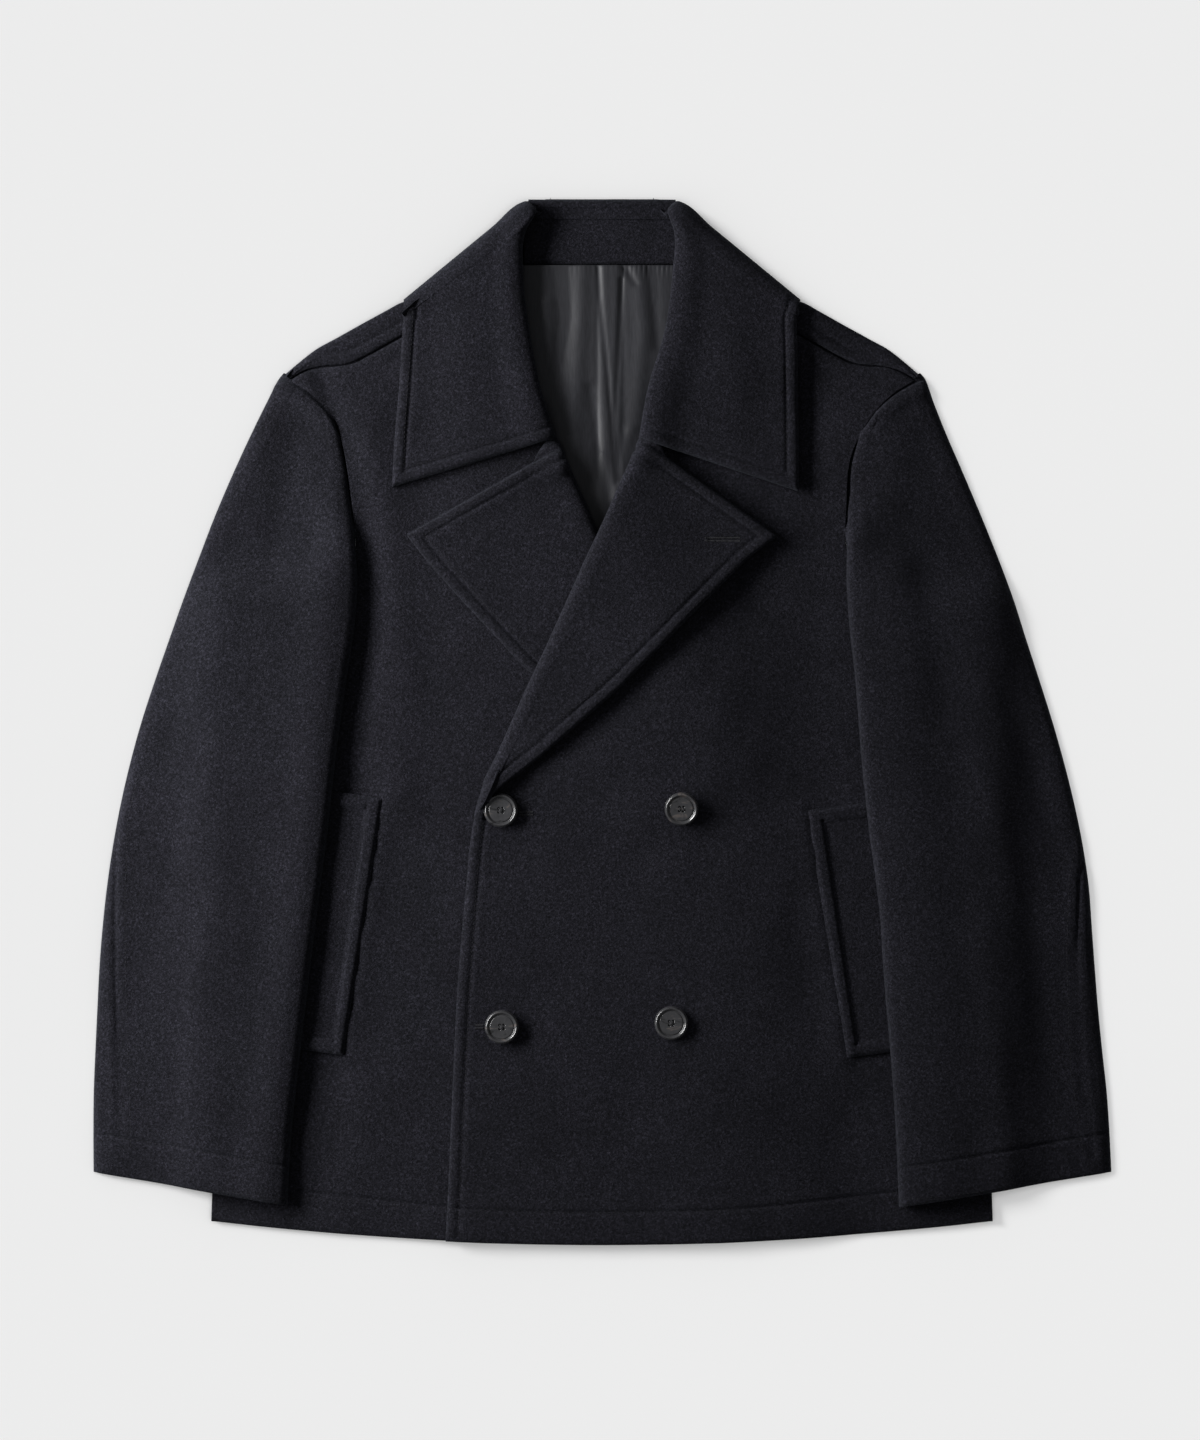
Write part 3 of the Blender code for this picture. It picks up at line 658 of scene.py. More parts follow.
def strip_place(first):
    """The back's strip over one shoulder, from its column first on."""
    def place(i, j):
        x, y, z = back_place(first + i, UP + TOP_ROWS)
        side = SIGN["left" if x > 0 else "right"]
        radius = fold_radius(x)
        angle = math.pi * min(j, FOLD_STEPS) / FOLD_STEPS
        forward = radius * math.sin(angle) - wrap_length(abs(x)) * max(0, j - FOLD_STEPS) / 2.0
        x, y = x + side * OUT[0] * forward, y + OUT[1] * forward
        if j > FOLD_STEPS:
            z = neck_lift(x, y)
        return x, y, z + radius * (1.0 - math.cos(angle))
    return place


def make_back():
    flat = surface(back_place, 2 * HALF, UP + TOP_ROWS, "back")
    shells = [shell(flat, WALL, 1, far=seam(flat, plan(flat[::4, 0]), CUT_EDGE))]
    for first in (0, 2 * HALF - SHOULDER_COLUMNS):
        strip = surface(strip_place(first), SHOULDER_COLUMNS, FOLD_STEPS + 2, "shoulder")
        d, z = distance(strip, plan(strip[::3, -1])), strip[..., 2]
        relief = rim_relief(d, **STRIP_RIM) * ease(z, 3.0, 8.0) + 0.5 * waves(strip, 3) * ease(z, 3.0, 6.0)
        shells.append(shell(strip, WALL, 1, near=relief))
    return sewn("back", *shells)


# Fronts

PLY_RADIUS = WALL + 0.7
ROLL_RADIUS = PLY_RADIUS + 0.5 + FACING_WALL
LAPEL_ROWS = 10
LAPEL_COLUMNS = 7
FRONT_BIAS = 1.2       # columns are closer together near the front edge
FRONT_COLUMNS = 14
LOW_ROWS, NECK_ROWS = 7, 7      # below and above the lapel's rows
NECK_EDGE = {"left": [(45, 206), (55, 228), (66, 262)],
             "right": [(-49, 206), (-59, 228), (-68, 262)]}
SIDE_SEAM = [(272.5, -75), (271.8, -25), (270.5, 25)]      # beside the lapel, from the break up
BREAK = (-89, -56)         # where the left front edge starts to turn back
HEM_STITCH = 23.5
HEM_SPREAD = 5.0               # the hem is this much deeper at the sides
FRONT_WAVES = {"left": 11, "right": 12}      # seeds of the slow swells

# Rows of line, width and depth; a negative depth is a ridge
FRONT_FOLDS = {
    "left": [
        ([(150, 215), (158, 120), (152, 40)], 16, 0.8),
        ([(120, 60), (135, -20), (140, -90)], 22, -0.8),
        ([(20, -100), (30, -220), (26, -320)], 26, 0.6),
    ],
    "right": [
        ([(-184, 205), (-170, 150), (-164, 95), (-170, 20), (-180, -60)], 9, 1.7),
        ([(-203, 255), (-192, 213)], 8, 1.5),
        ([(-217, 252), (-205, 228)], 7, -2),
        ([(-168, 215), (-150, 130), (-142, 30), (-144, -60)], 15, -1.9),
        ([(-190, -250), (-200, -330)], 14, 1.2),
        ([(-120, 40), (-122, -40), (-118, -120)], 22, 0.8),
    ],
}

# The front's rise to a welt, so that its step is a small one
POCKET_SWELL = 1.9
SWELL_AHEAD, SWELL_UNDER = 12.0, 1.2     # how far it fades before the welt and beneath it


def fold_line(side, v):
    """Centre of the lapel's fold from the break at 0 to the gorge at 1, and its outward direction."""
    lapel = LAPELS[side]
    dx, dy = lapel["top"][0] - lapel["break"][0], lapel["top"][1] - lapel["break"][1]
    length = math.hypot(dx, dy)
    out = (-SIGN[side] * dy / length, SIGN[side] * dx / length)
    x = mix(lapel["break"][0], lapel["top"][0], v) - out[0] * ROLL_RADIUS
    y = mix(lapel["break"][1], lapel["top"][1], v) - out[1] * ROLL_RADIUS
    return x, y, out


def lapel_point(side, f, v, inset):
    """A point on a folded lapel, f across from the fold at 0 to the outer edge at 1."""
    x, y, _ = fold_line(side, v)
    edge = along(LAPELS[side]["edge"], v)
    f *= 1.0 - inset / math.dist((x, y), edge)
    return mix(x, edge[0], f), mix(y, edge[1], f)


def lapel_fold(side, v, angle, radius, level):
    x, y, out = fold_line(side, v)
    z = low_face(side)(x, y) + level
    return (x + out[0] * radius * math.sin(angle), y + out[1] * radius * math.sin(angle),
            z - radius * math.cos(angle))


def front_grid(side):
    edge = armholes[side]
    low_side = [rounded(edge[:3] + SIDE_SEAM[:1], j / LOW_ROWS) for j in range(LOW_ROWS + 1)]
    lapel_side = SIDE_SEAM + edge[5:13]
    top_side = edge[12:]
    neck = [fold_line(side, 1.0)[:2]] + NECK_EDGE[side]
    height = low_face(side)

    def row(j):
        if j <= LOW_ROWS:
            t = j / LOW_ROWS
            end = BREAK if side == "left" else fold_line(side, 0.0)[:2]
            return rounded(FRONT_EDGE[side] + [end], t), low_side[j], 1.0 - t
        j -= LOW_ROWS
        if j <= LAPEL_ROWS:
            return fold_line(side, j / LAPEL_ROWS)[:2], lapel_side[j], 0.0
        j -= LAPEL_ROWS
        return along(neck, j / (NECK_ROWS - 1)), top_side[j], 0.0

    def place(i, j):
        u = (i / FRONT_COLUMNS) ** FRONT_BIAS
        if j == LOW_ROWS + LAPEL_ROWS + NECK_ROWS:
            x, y = shoulder_point(1.0 - i / FRONT_COLUMNS)
            back = wrap_length(x) + 4.0 * SEAM
            x, y = SIGN[side] * (x - OUT[0] * back), y - OUT[1] * back
            return x, y, height(x, y)
        start, end, hem = row(j)
        x = mix(start[0], SIGN[side] * end[0], u)
        y = mix(start[1], end[1], u)
        y += (hem_y(x) - mix(hem_y(start[0]), hem_y(HEM_HALF), u)) * hem
        return x, y, height(x, y)

    return surface(place, FRONT_COLUMNS, LOW_ROWS + LAPEL_ROWS + NECK_ROWS, "front")


def pocket_swell(points, side):
    (x0, y0), (x1, y1) = POCKETS[side]
    y = points[..., 1]
    ahead = (x0 + (x1 - x0) * (y - y0) / (y1 - y0) - points[..., 0]) * SIGN[side]
    beside = np.where(ahead > 0.0, bell(ahead, SWELL_AHEAD), bell(ahead, SWELL_UNDER))
    return POCKET_SWELL * beside * ease(y, y1 - SWELL_AHEAD, y1) * (1.0 - ease(y, y0, y0 + SWELL_AHEAD))


def make_front(side):
    grid = front_grid(side)
    edge = [p for p in plan(grid[0, ::3]) if p[1] < LAPELS[side]["break"][1]]
    d_edge, d_hem = distance(grid, edge), distance(grid, plan(grid[::4, 0]))
    stitching = HEM_STITCH + HEM_SPREAD * ease(np.abs(grid[..., 0]), 60.0, 240.0)
    relief = rim_relief(d_edge) if side == "left" else bells(d_edge, CUT_EDGE)
    relief *= ease(d_hem, 1.0, 6.0)
    relief += bells(d_hem, HEM_EDGE) + bells(d_hem - stitching, HEM_GROOVE)
    relief += seam(grid, plan(grid[::3, -1]), SHOULDER_SEAM)
    relief += creases(grid, FRONT_FOLDS[side]) + pocket_swell(grid, side)
    relief += waves(grid, FRONT_WAVES[side])

    def ply(i, j):
        v = j / LAPEL_ROWS
        i = FOLD_STEPS + LAPEL_COLUMNS - i
        if i <= FOLD_STEPS:
            return lapel_fold(side, v, math.pi * i / FOLD_STEPS, PLY_RADIUS, PLY_RADIUS)
        x, y = lapel_point(side, (i - FOLD_STEPS) / LAPEL_COLUMNS, v, 0.8)
        return x, y, low_face(side)(x, y) + 2.0 * PLY_RADIUS

    fold = surface(ply, FOLD_STEPS + LAPEL_COLUMNS, LAPEL_ROWS, "lapel")
    return sewn("front_" + side, shell(grid, WALL, SIGN[side], far=relief), shell(fold, WALL, SIGN[side]))


# Facings

FACING_START = math.radians(64.0)
GORGE_TAB = 9.0        # the lapel goes on under the collar at the neck by this much
DIVE = ((-92.5, -68.0), (-84.5, -71.0))      # where the left lapel goes down into the front edge
FACING_WAVES = {"left": 21, "right": 22}

# First and last x, and y
BUTTONHOLES = {"lapel": (74, 99, 130.7), "upper": (-59.5, -49, -66), "lower": (-91, -85, -219.2)}
LAPEL_HOLE = [(x, BUTTONHOLES["lapel"][2]) for x in BUTTONHOLES["lapel"][:2]]
LAPEL_FOLDS = {
    "left": [(LAPEL_HOLE, 1.3, 0.9), ([(20, 150), (60, 110)], 14, 0.4)],
    "right": [([(-40, 150), (-70, 120)], 14, 0.4)],
}


def lapel_place(side, i, j):
    if j > LAPEL_ROWS:
        x, y, z = lapel_place(side, i, LAPEL_ROWS)
        lower = lapel_place(side, i, LAPEL_ROWS - 1)
        f = max(LAPEL_COLUMNS - i, 0) / LAPEL_COLUMNS
        by = GORGE_TAB * max(1.0 - f / 0.1, 0.0) / math.dist(lower[:2], (x, y)) + 0.004
        return x + (x - lower[0]) * by, y + (y - lower[1]) * by, z - 0.9 - 4.5 * min(by * 2.0, 1.0)
    v = j / LAPEL_ROWS
    i = FOLD_STEPS + LAPEL_COLUMNS - i
    if i <= FOLD_STEPS:
        return lapel_fold(side, v, mix(FACING_START, math.pi, i / FOLD_STEPS), ROLL_RADIUS, PLY_RADIUS)
    x, y = lapel_point(side, (i - FOLD_STEPS) / LAPEL_COLUMNS, v, 0.0)
    return x, y, low_face(side)(x, y) + PLY_RADIUS + ROLL_RADIUS


def make_facing(side):
    dive = 1 if side == "left" else 0

    def place(i, j):
        if j >= dive:
            return lapel_place(side, i, j - dive)
        q = 1.0 - i / (FOLD_STEPS + LAPEL_COLUMNS)
        x, y = mix(DIVE[0][0], DIVE[1][0], q), mix(DIVE[0][1], DIVE[1][1], q)
        return x, y, low_face(side)(x, y) + WALL - 0.6 + 0.9 * math.sin(math.pi * q)

    grid = surface(place, FOLD_STEPS + LAPEL_COLUMNS, LAPEL_ROWS + 1 + dive, "facing")
    outer = [place(0, 0)[:2]] * dive + LAPELS[side]["edge"]
    top = [lapel_place(side, i, LAPEL_ROWS)[:2] for i in range(LAPEL_COLUMNS + 2)]
    relief = rim_relief(np.minimum(distance(grid, outer), distance(grid, top)))
    relief += creases(grid, LAPEL_FOLDS[side]) + 0.6 * waves(grid, FACING_WAVES[side])
    return sewn("facing_" + side, shell(grid, FACING_WALL, SIGN[side], near=relief))


# Sleeves

EDGE_INSET = 9.0       # width of the bend along each long edge
SLEEVE_GAP = 0.7       # room between the top and the under sleeve
SLEEVE_COLUMNS = 8
SLEEVE_BEDS = 20
SLEEVE_TURN = [0, 30, 60, 90]        # degrees round each long edge
UNDER_INSET = 2.5      # the under sleeve's edges are this much further in than the top's bends
UNDER_HEAD = 0.035     # and its head starts here, as a share of the sleeve's length
TUCK = 5.0             # the sleeve head goes on under the body by this much
CUFF_STITCH = 28.0
SLEEVE_WAVES = {"left": 31, "right": 32}

HINDARM = {
    "left": [(350, -82), (343.8, -112), (342, -163.1), (343.4, -212.8), (344.9, -250.2),
             (350.5, -285), (354, -314)],
    "right": [(-341, -36), (-348.5, -70.9), (-350.6, -125.6), (-349.9, -188.3), (-348.5, -238),
              (-347, -270.3), (-346.3, -310)],
}
SLEEVE_FOLDS = {
    "left": [
        ([(205, 200), (209, 125), (220, -48), (235, -190), (247, -330)], 23, -3),
        ([(222, 150), (232, 90), (245, 0)], 10, 0.6),
        ([(250, 110), (262, 50), (285, -60)], 16, -0.8),
    ],
    "right": [
        ([(-218.6, 207.7), (-229.6, 159.5), (-237.8, 106.3)], 12, 1.8),
        ([(-246, 205), (-272, 120), (-295, 20)], 16, -1),
        ([(-193, 160), (-196, 125), (-200, 60), (-213, -75), (-228, -200),
          (-243, -335)], 15, -3),
        ([(-290, 20), (-318, -120), (-322, -300)], 24, -1.4),
    ],
}


def sleeve_point(side, t, from_outer, width):
    outer, inner = sleeve_edges(side, t)
    f = from_outer / width
    bow = ARMHOLE_BOW * 4.0 * f * (1.0 - f) * (1.0 - smooth(t, 0.0, 0.16))
    return mix(outer[0], inner[0], f) + BOW_WAY[0] * bow, mix(outer[1], inner[1], f) + BOW_WAY[1] * bow


def sleeve_place(side, i, j):
    """The top sleeve: an extra row tucked in at its head, and an extra column at its inner edge."""
    if j == SLEEVE_BEDS + 1:
        x, y, z = sleeve_place(side, i, SLEEVE_BEDS)
        return x + SIGN[side] * BOW_WAY[0] * TUCK, y + BOW_WAY[1] * TUCK, max(z - TUCK, 0.4)
    t = 1.0 - j / SLEEVE_BEDS
    if i == 0:
        x, y, z = sleeve_place(side, 1, j)
        by = TUCK * (1.0 - smooth(t, 0.14, 0.21))
        return x - SIGN[side] * (by + 0.2), y - 0.2 * by, max(z - 0.3 * by - 0.3, 0.4)
    i -= 1
    width = math.dist(*sleeve_edges(side, t))
    inset = min(EDGE_INSET, width * 0.2)
    turns = len(SLEEVE_TURN) - 1
    count = SLEEVE_COLUMNS + 2 * turns
    angle = math.radians(SLEEVE_TURN[min(i, count - i, turns)])
    if i <= turns:
        across = width - inset * (1.0 - math.cos(angle))
    elif i >= count - turns:
        across = inset * (1.0 - math.cos(angle))
    else:
        across = mix(width - inset, inset, (i - turns) / SLEEVE_COLUMNS)
    x, y = sleeve_point(side, t, across, width)
    return SIGN[side] * x, y, sleeve_base(side, x, y) + mix(1.1, WALL * 2.0 + SLEEVE_GAP, math.sin(angle))


def make_sleeve_top(side):
    columns = SLEEVE_COLUMNS + 2 * len(SLEEVE_TURN) - 1
    grid = surface(lambda i, j: sleeve_place(side, i, j), columns, SLEEVE_BEDS + 1, "sleeve_top")
    cap = [armhole_seam(side, f, 0.0) for f in np.linspace(0.0, 1.0, 12)]
    d_cuff = distance(grid, plan(grid[::3, 0]))
    relief = bells(d_cuff, CUFF_EDGE) + bells(d_cuff - CUFF_STITCH, CUFF_GROOVE)
    relief += seam(grid, [(SIGN[side] * x, y) for x, y in cap], ARMHOLE_SEAM)
    relief += seam(grid, HINDARM[side], HINDARM_SEAM)
    relief += creases(grid, SLEEVE_FOLDS[side]) + 1.1 * waves(grid, SLEEVE_WAVES[side])
    base = np.array([[sleeve_base(side, abs(p[0]), p[1]) for p in line] for line in grid])
    relief *= ease(grid[..., 2] - base, 2.0, 6.0)
    return sewn("sleeve_%s_top" % side, shell(grid, WALL, -SIGN[side], near=relief))


def make_sleeve_under(side):
    inset = EDGE_INSET + UNDER_INSET

    def place(i, j):
        t = max(UNDER_HEAD, 1.0 - j / SLEEVE_BEDS)
        width = math.dist(*sleeve_edges(side, t))
        x, y = sleeve_point(side, t, mix(width - inset, inset, i / SLEEVE_COLUMNS), width)
        return SIGN[side] * x, y, sleeve_base(side, x, y)

    grid = surface(place, SLEEVE_COLUMNS, SLEEVE_BEDS, "sleeve_under")
    return sewn("sleeve_%s_under" % side, shell(grid, WALL, SIGN[side]))


# Collar

LEAF_ROLL_RISE = 2.2   # a leaf is this much higher at its inner roll
LEAF_ROLL_WIDTH = 22.0
SPREAD = 4             # steps across the fall
CURL_STEPS = 4         # and round its roll
WRAP_STEPS = 6         # sections of a leaf as it turns over its diagonal fold
WING = 5.5             # the leaf's outer edge runs on to the diagonal fold
BACK_FALL = (-20, 0, 20)
ROLL_WALL = 2.5
ROLL_COLUMNS = 12
ROLL_STEPS = 6         # round the roll of the collar's top, which then runs on down
ROLL_RUN = 5.0         # by this much for each row
COLLAR_FOLDS = [
    ([(70, 350), (90, 290), (96, 220)], 16, -0.6),
    ([(-70, 350), (-90, 290), (-98, 220)], 16, -0.6),
    ([(118, 290), (114, 210)], 12, 0.5),
    ([(-120, 290), (-122, 210)], 12, 0.5),
]
STAND_HALF = 56.0
STAND_COLUMNS, STAND_ROWS = 8, 4
STAND_STITCHES = [([(-42, y), (42, y)], 1.2, 0.4) for y in (366, 362)]


def leaf_level(side, x, y):
    """Top of a collar leaf."""
    return low_face(side)(x, y) + WALL + COLLAR_WALL + 4.0 * SEAM


def leaf_section(side, k):
    inner, outer = LEAF[side][k]
    length = math.dist(inner, outer)
    d = Vector(((outer[0] - inner[0]) / length, (outer[1] - inner[1]) / length, 0.0))
    points = []
    for i in range(SPREAD + 1):
        s = (length - CURL) * i / SPREAD
        p = Vector((*inner, 0.0)) + d * (CURL + s)
        p.z = leaf_level(side, p.x, p.y) + LEAF_ROLL_RISE * math.exp(-s / LEAF_ROLL_WIDTH)
        points.append(p)
    return points, d, Vector((0.0, 0.0, 1.0))


def wrap_section(side, angle):
    sign = SIGN[side]
    corner = Vector((sign * CORNER[0], CORNER[1], 0.0))
    end = Vector((sign * DIAGONAL_END[0], DIAGONAL_END[1], 0.0))
    d = (end - corner).normalized()
    out = Vector((-d.y * sign, d.x * sign, 0.0))
    away = out * math.sin(angle) + Vector((0.0, 0.0, math.cos(angle)))
    reach = (end - corner).length + WING * (1.0 - math.sin(angle))
    points = []
    for i in range(SPREAD + 1):
        s = CURL + (reach - CURL) * i / SPREAD
        edge = corner + d * s
        level = leaf_level(side, edge.x, edge.y) + LEAF_ROLL_RISE * math.exp(-(s - CURL) / LEAF_ROLL_WIDTH)
        centre = edge - out * level / 2.0
        centre.z = level / 2.0
        points.append(centre + away * level / 2.0)
    return points, d, away


def back_section(x, heading, length):
    """Behind the neck, flat on the floor, heading down from the top edge."""
    d = Vector((math.sin(heading), -math.cos(heading), 0.0))
    start = Vector((x, CORNER[1] - CURL, 0.0))
    return [start + d * (length - CURL) * i / SPREAD for i in range(SPREAD + 1)], d, Vector((0.0, 0.0, -1.0))


def collar_half(side):
    found = [leaf_section(side, k) for k in range(len(LEAF[side]))]
    found += [wrap_section(side, math.pi * k / WRAP_STEPS) for k in range(WRAP_STEPS + 1)]
    diagonal = math.atan2(DIAGONAL_END[0] - CORNER[0], CORNER[1] - DIAGONAL_END[1])
    for k in (1, 2, 3):
        x = mix(CORNER[0] - 8.0, 40.0, k / 3.0)
        found.append(back_section(SIGN[side] * x, SIGN[side] * diagonal * (1.0 - k / 3.0), FALL))
    return found


def neck_roll():
    """The top of the collar between its leaves, rolled over from behind the neck."""
    def place(i, j):
        x = mix(-CORNER[0] + 1.0, CORNER[0] - 1.0, i / ROLL_COLUMNS)
        angle = math.pi * min(j, ROLL_STEPS) / ROLL_STEPS
        y = CORNER[1] - CURL + CURL * math.sin(angle) - ROLL_RUN * max(j - ROLL_STEPS, 0)
        return x, y, CURL * (1.0 - math.cos(angle)) * 0.98

    grid = surface(place, ROLL_COLUMNS, ROLL_STEPS + 2, "neck_roll")
    return shell(grid, ROLL_WALL, 1, near=0.3 * waves(grid, 52))


def make_collar():
    middle = [back_section(x, 0.0, FALL) for x in BACK_FALL]
    sections = collar_half("right") + middle + collar_half("left")[::-1]

    def place(i, j):
        points, d, n = sections[i]
        if j <= SPREAD:
            return points[SPREAD - j]
        angle = math.pi * min(j - SPREAD, CURL_STEPS) / CURL_STEPS
        q = points[0] - d * CURL * math.sin(angle) - n * CURL * (1.0 - math.cos(angle))
        return q + d * CURL_TAIL if j > SPREAD + CURL_STEPS else q

    grid = surface(place, len(sections) - 1, SPREAD + CURL_STEPS + 1, "collar")
    outer = plan(p for p in grid[:, 0] if p[2] > 8.0 and p[1] < 297.0)
    edges = [plan(grid[0, ::3]), plan(grid[-1, ::3])]
    edges += [[p for p in outer if p[0] * way > 0.0] for way in (-1.0, 1.0)]
    d = np.minimum.reduce([distance(grid, edge) for edge in edges])
    relief = rim_relief(d, puff=0.9) + 0.5 * waves(grid, 41) + creases(grid, COLLAR_FOLDS)
    relief *= ease(normals(grid, -1)[..., 2], 0.5, 0.95)
    return sewn("collar", shell(grid, COLLAR_WALL, 1, near=relief), neck_roll())


def make_stand():
    low, high = NECK_Y + SEAM, CORNER[1] - CURL - CURL_TAIL - SEAM

    def place(i, j):
        x = STAND_HALF * (2.0 * i / STAND_COLUMNS - 1.0)
        return x, mix(low, high, j / STAND_ROWS), COLLAR_WALL + SEAM

    grid = surface(place, STAND_COLUMNS, STAND_ROWS, "stand")
    relief = seam(grid, plan(grid[::3, 0]), NECK_SEAM)
    relief += creases(grid, STAND_STITCHES) + 0.5 * waves(grid, 51)
    return sewn("collar_stand", shell(grid, STAND_WALL, 1, far=relief), name="stand")


# Lining

LINING_LOW = 60.0
LINING_HALF = (72.0, 58.0)     # half width, low down and at the neck
LINING_ROWS = 13
PLEAT = [(-2.5, 0.0), (-0.5, 0.7), (6.0, 0.9), (12.0, 0.6), (14.0, 0.0)]     # x and rise across it
LINING_COLUMNS = [-1.0, -0.75, -0.5, -0.25, -0.1] + PLEAT + [0.3, 0.5, 0.75, 1.0]
LINING_FOLDS = [
    ([(-2.2, 327), (-0.7, 303.5), (10.8, 171.7)], 1.6, 0.8),
    ([(13.7, 318), (9.4, 213.5), (13, 174)], 1.6, 0.8),
    ([(16.6, 327.2), (24, 315)], 2.5, 0.7),
    ([(-30, 327), (-26, 290), (-36, 240)], 7, 1.2),
    ([(-14, 327), (-16, 270), (-20, 200)], 6, -1),
    ([(-40, 300), (-34, 230), (-22, 180)], 5, -0.9),
    ([(26, 327), (30, 280), (24, 210)], 6, -1),
    ([(36, 325), (40, 270)], 4, 0.8),
    ([(-8, 240), (-2, 190), (8, 150)], 4, 0.8),
    ([(20, 210), (10, 160)], 4, -0.7),
]


def make_lining():
    high = NECK_Y - SEAM - 0.2

    def place(i, j):
        y = mix(LINING_LOW, high, j / LINING_ROWS)
        column = LINING_COLUMNS[i]
        if column in PLEAT:
            x, rise = column[0], column[1] * smooth(y, 150.0, 200.0)
        else:
            x, rise = column * mix(*LINING_HALF, smooth(y, 180.0, high)), 0.0
        return x, y, neck_lift(x, y) + WALL + 2.0 * SEAM + rise

    grid = surface(place, len(LINING_COLUMNS) - 1, LINING_ROWS, "lining")
    x, from_top = grid[..., 0], high - grid[..., 1]
    relief = 0.25 * waves(grid, 61) + creases(grid, LINING_FOLDS)
    relief += 0.45 * np.sin(x * 1.9) * bell(from_top, 7.0) * (bell(x - 37.0, 14.0) + 0.25)
    relief -= 0.5 * bell(from_top, 1.2)
    relief = np.maximum(relief, -0.7) + 0.9
    cloth = shell(grid, LINING_WALL, 1, far=relief)
    return piece("lining_cloth", [cloth], satin, ["back_lining"])


# Pocket welts

WELT_COLUMNS, WELT_ROWS = 6, 12
WELT_BAND = 10.8       # width of the raised band at its top end
BAND_TAPER = 2.6       # and how much narrower it is at its low end
WELT_END = 9.0         # the stitching across each end is this far in
MOUTH = 1.5            # depth of the pocket mouth behind the band


def make_welt(side):
    """The welt as a soft band along its front edge, with the pocket mouth sunk behind it."""
    (x0, y0), (x1, y1) = POCKETS[side]

    def place(i, j):
        u, t = i / WELT_COLUMNS, j / WELT_ROWS
        x = mix(x1, x0, t) + SIGN[side] * WELT_WIDTH * u
        y = mix(y1, y0, t) + WELT_RISE * u
        return x, y, low_face(side)(x, y) + WALL + SEAM + WELT_GAP * (1.0 - u)

    grid = surface(place, WELT_COLUMNS, WELT_ROWS, "welt")
    d_front = distance(grid, plan(grid[0, ::3]))
    d_end = np.minimum(distance(grid, plan(grid[::3, 0])), distance(grid, plan(grid[::3, -1])))
    band = WELT_BAND - BAND_TAPER * (1.0 - (grid[..., 1] - y1) / (y0 - y1))
    past_band, past_end = d_front - band, d_end - WELT_END
    behind = ease(past_band, 0.0, 2.0) * ease(past_end, 0.0, 2.0)
    relief = 0.5 * np.sin(np.pi * np.clip(d_front / band, 0.0, 1.0)) * (1.0 - behind) - MOUTH * behind
    relief -= 1.5 * bell(np.minimum(d_front, d_end), 1.7)
    relief -= 0.9 * bell(past_band, 1.1) * ease(past_end, -2.0, 0.0)
    relief -= 0.6 * bell(past_end, 1.1) * ease(past_band, -3.0, 0.0)
    relief = np.maximum(relief + 0.3 * waves(grid, 71), 0.2 - WELT_WALL)
    return sewn("pocket_welt_" + side, shell(grid, WELT_WALL, SIGN[side], far=relief), name="welt_" + side)


cloth = [make_back(), make_lining(), make_stand(), make_collar()]
for side in SIGN:
    cloth += [make(side) for make in (make_front, make_facing, make_sleeve_under, make_sleeve_top, make_welt)]


# Buttons

BUTTON_STEPS = 96
HOLE_RADIUS = 0.95
HOLE_OUT = 1.9 * 0.7071        # each way from the button's centre
RADII = [0.0] + [r for low, high, step in ((0.25, 3.4, 0.22), (3.7, 8.0, 0.6), (8.0, 12.01, 0.2))
                 for r in np.arange(low, high, step)]
BUTTON_UNDER = [(BUTTON_RADIUS, 2.0), (11.4, 1.6), (4.0, 1.0), (4.0, 0.0), (0.01, 0.0)]      # radius, height
BUTTON_SEAT = 1.0      # a button stands this far off the cloth, on its thread
LEAN_STEP = 5.0        # it leans with the cloth's slope over this much each way
THREAD_RADIUS = 0.3
THREAD_APART = 0.22
CROSSED_BARS = [((-1, -1), (1, 1)), ((-1, 1), (1, -1))]      # from hole to hole
PARALLEL_BARS = [((-1, 1), (-1, -1)), ((1, 1), (1, -1))]
PARALLEL_SEWN = 2      # only this button is sewn with parallel bars


def button_height(r, angle):
    """Top of a button: raised rim, a ring groove, dished centre, four holes."""
    rim = 0.9 * math.exp(-((r - 10.6) / 0.9) ** 2) - 0.55 * math.exp(-((r - 8.9) / 0.5) ** 2)
    dish = -0.35 * math.exp(-(r / 6.0) ** 2)
    fall = -1.6 * smooth(r, 11.0, BUTTON_RADIUS) ** 2
    x, y = r * math.cos(angle), r * math.sin(angle)
    hole = min(math.dist((abs(x), abs(y)), (HOLE_OUT, HOLE_OUT)) / HOLE_RADIUS, 2.0)
    return BUTTON_HEIGHT - 0.9 + rim + dish + fall - 1.9 * (1.0 - smooth(hole, 0.75, 1.1))


def button_lean(x, y):
    slope_x = (left_low(x + LEAN_STEP, y) - left_low(x - LEAN_STEP, y)) / (2.0 * LEAN_STEP)
    slope_y = (left_low(x, y + LEAN_STEP) - left_low(x, y - LEAN_STEP)) / (2.0 * LEAN_STEP)
    return Vector((-slope_x, -slope_y, 1.0)).to_track_quat("Z", "Y").to_matrix().to_4x4()


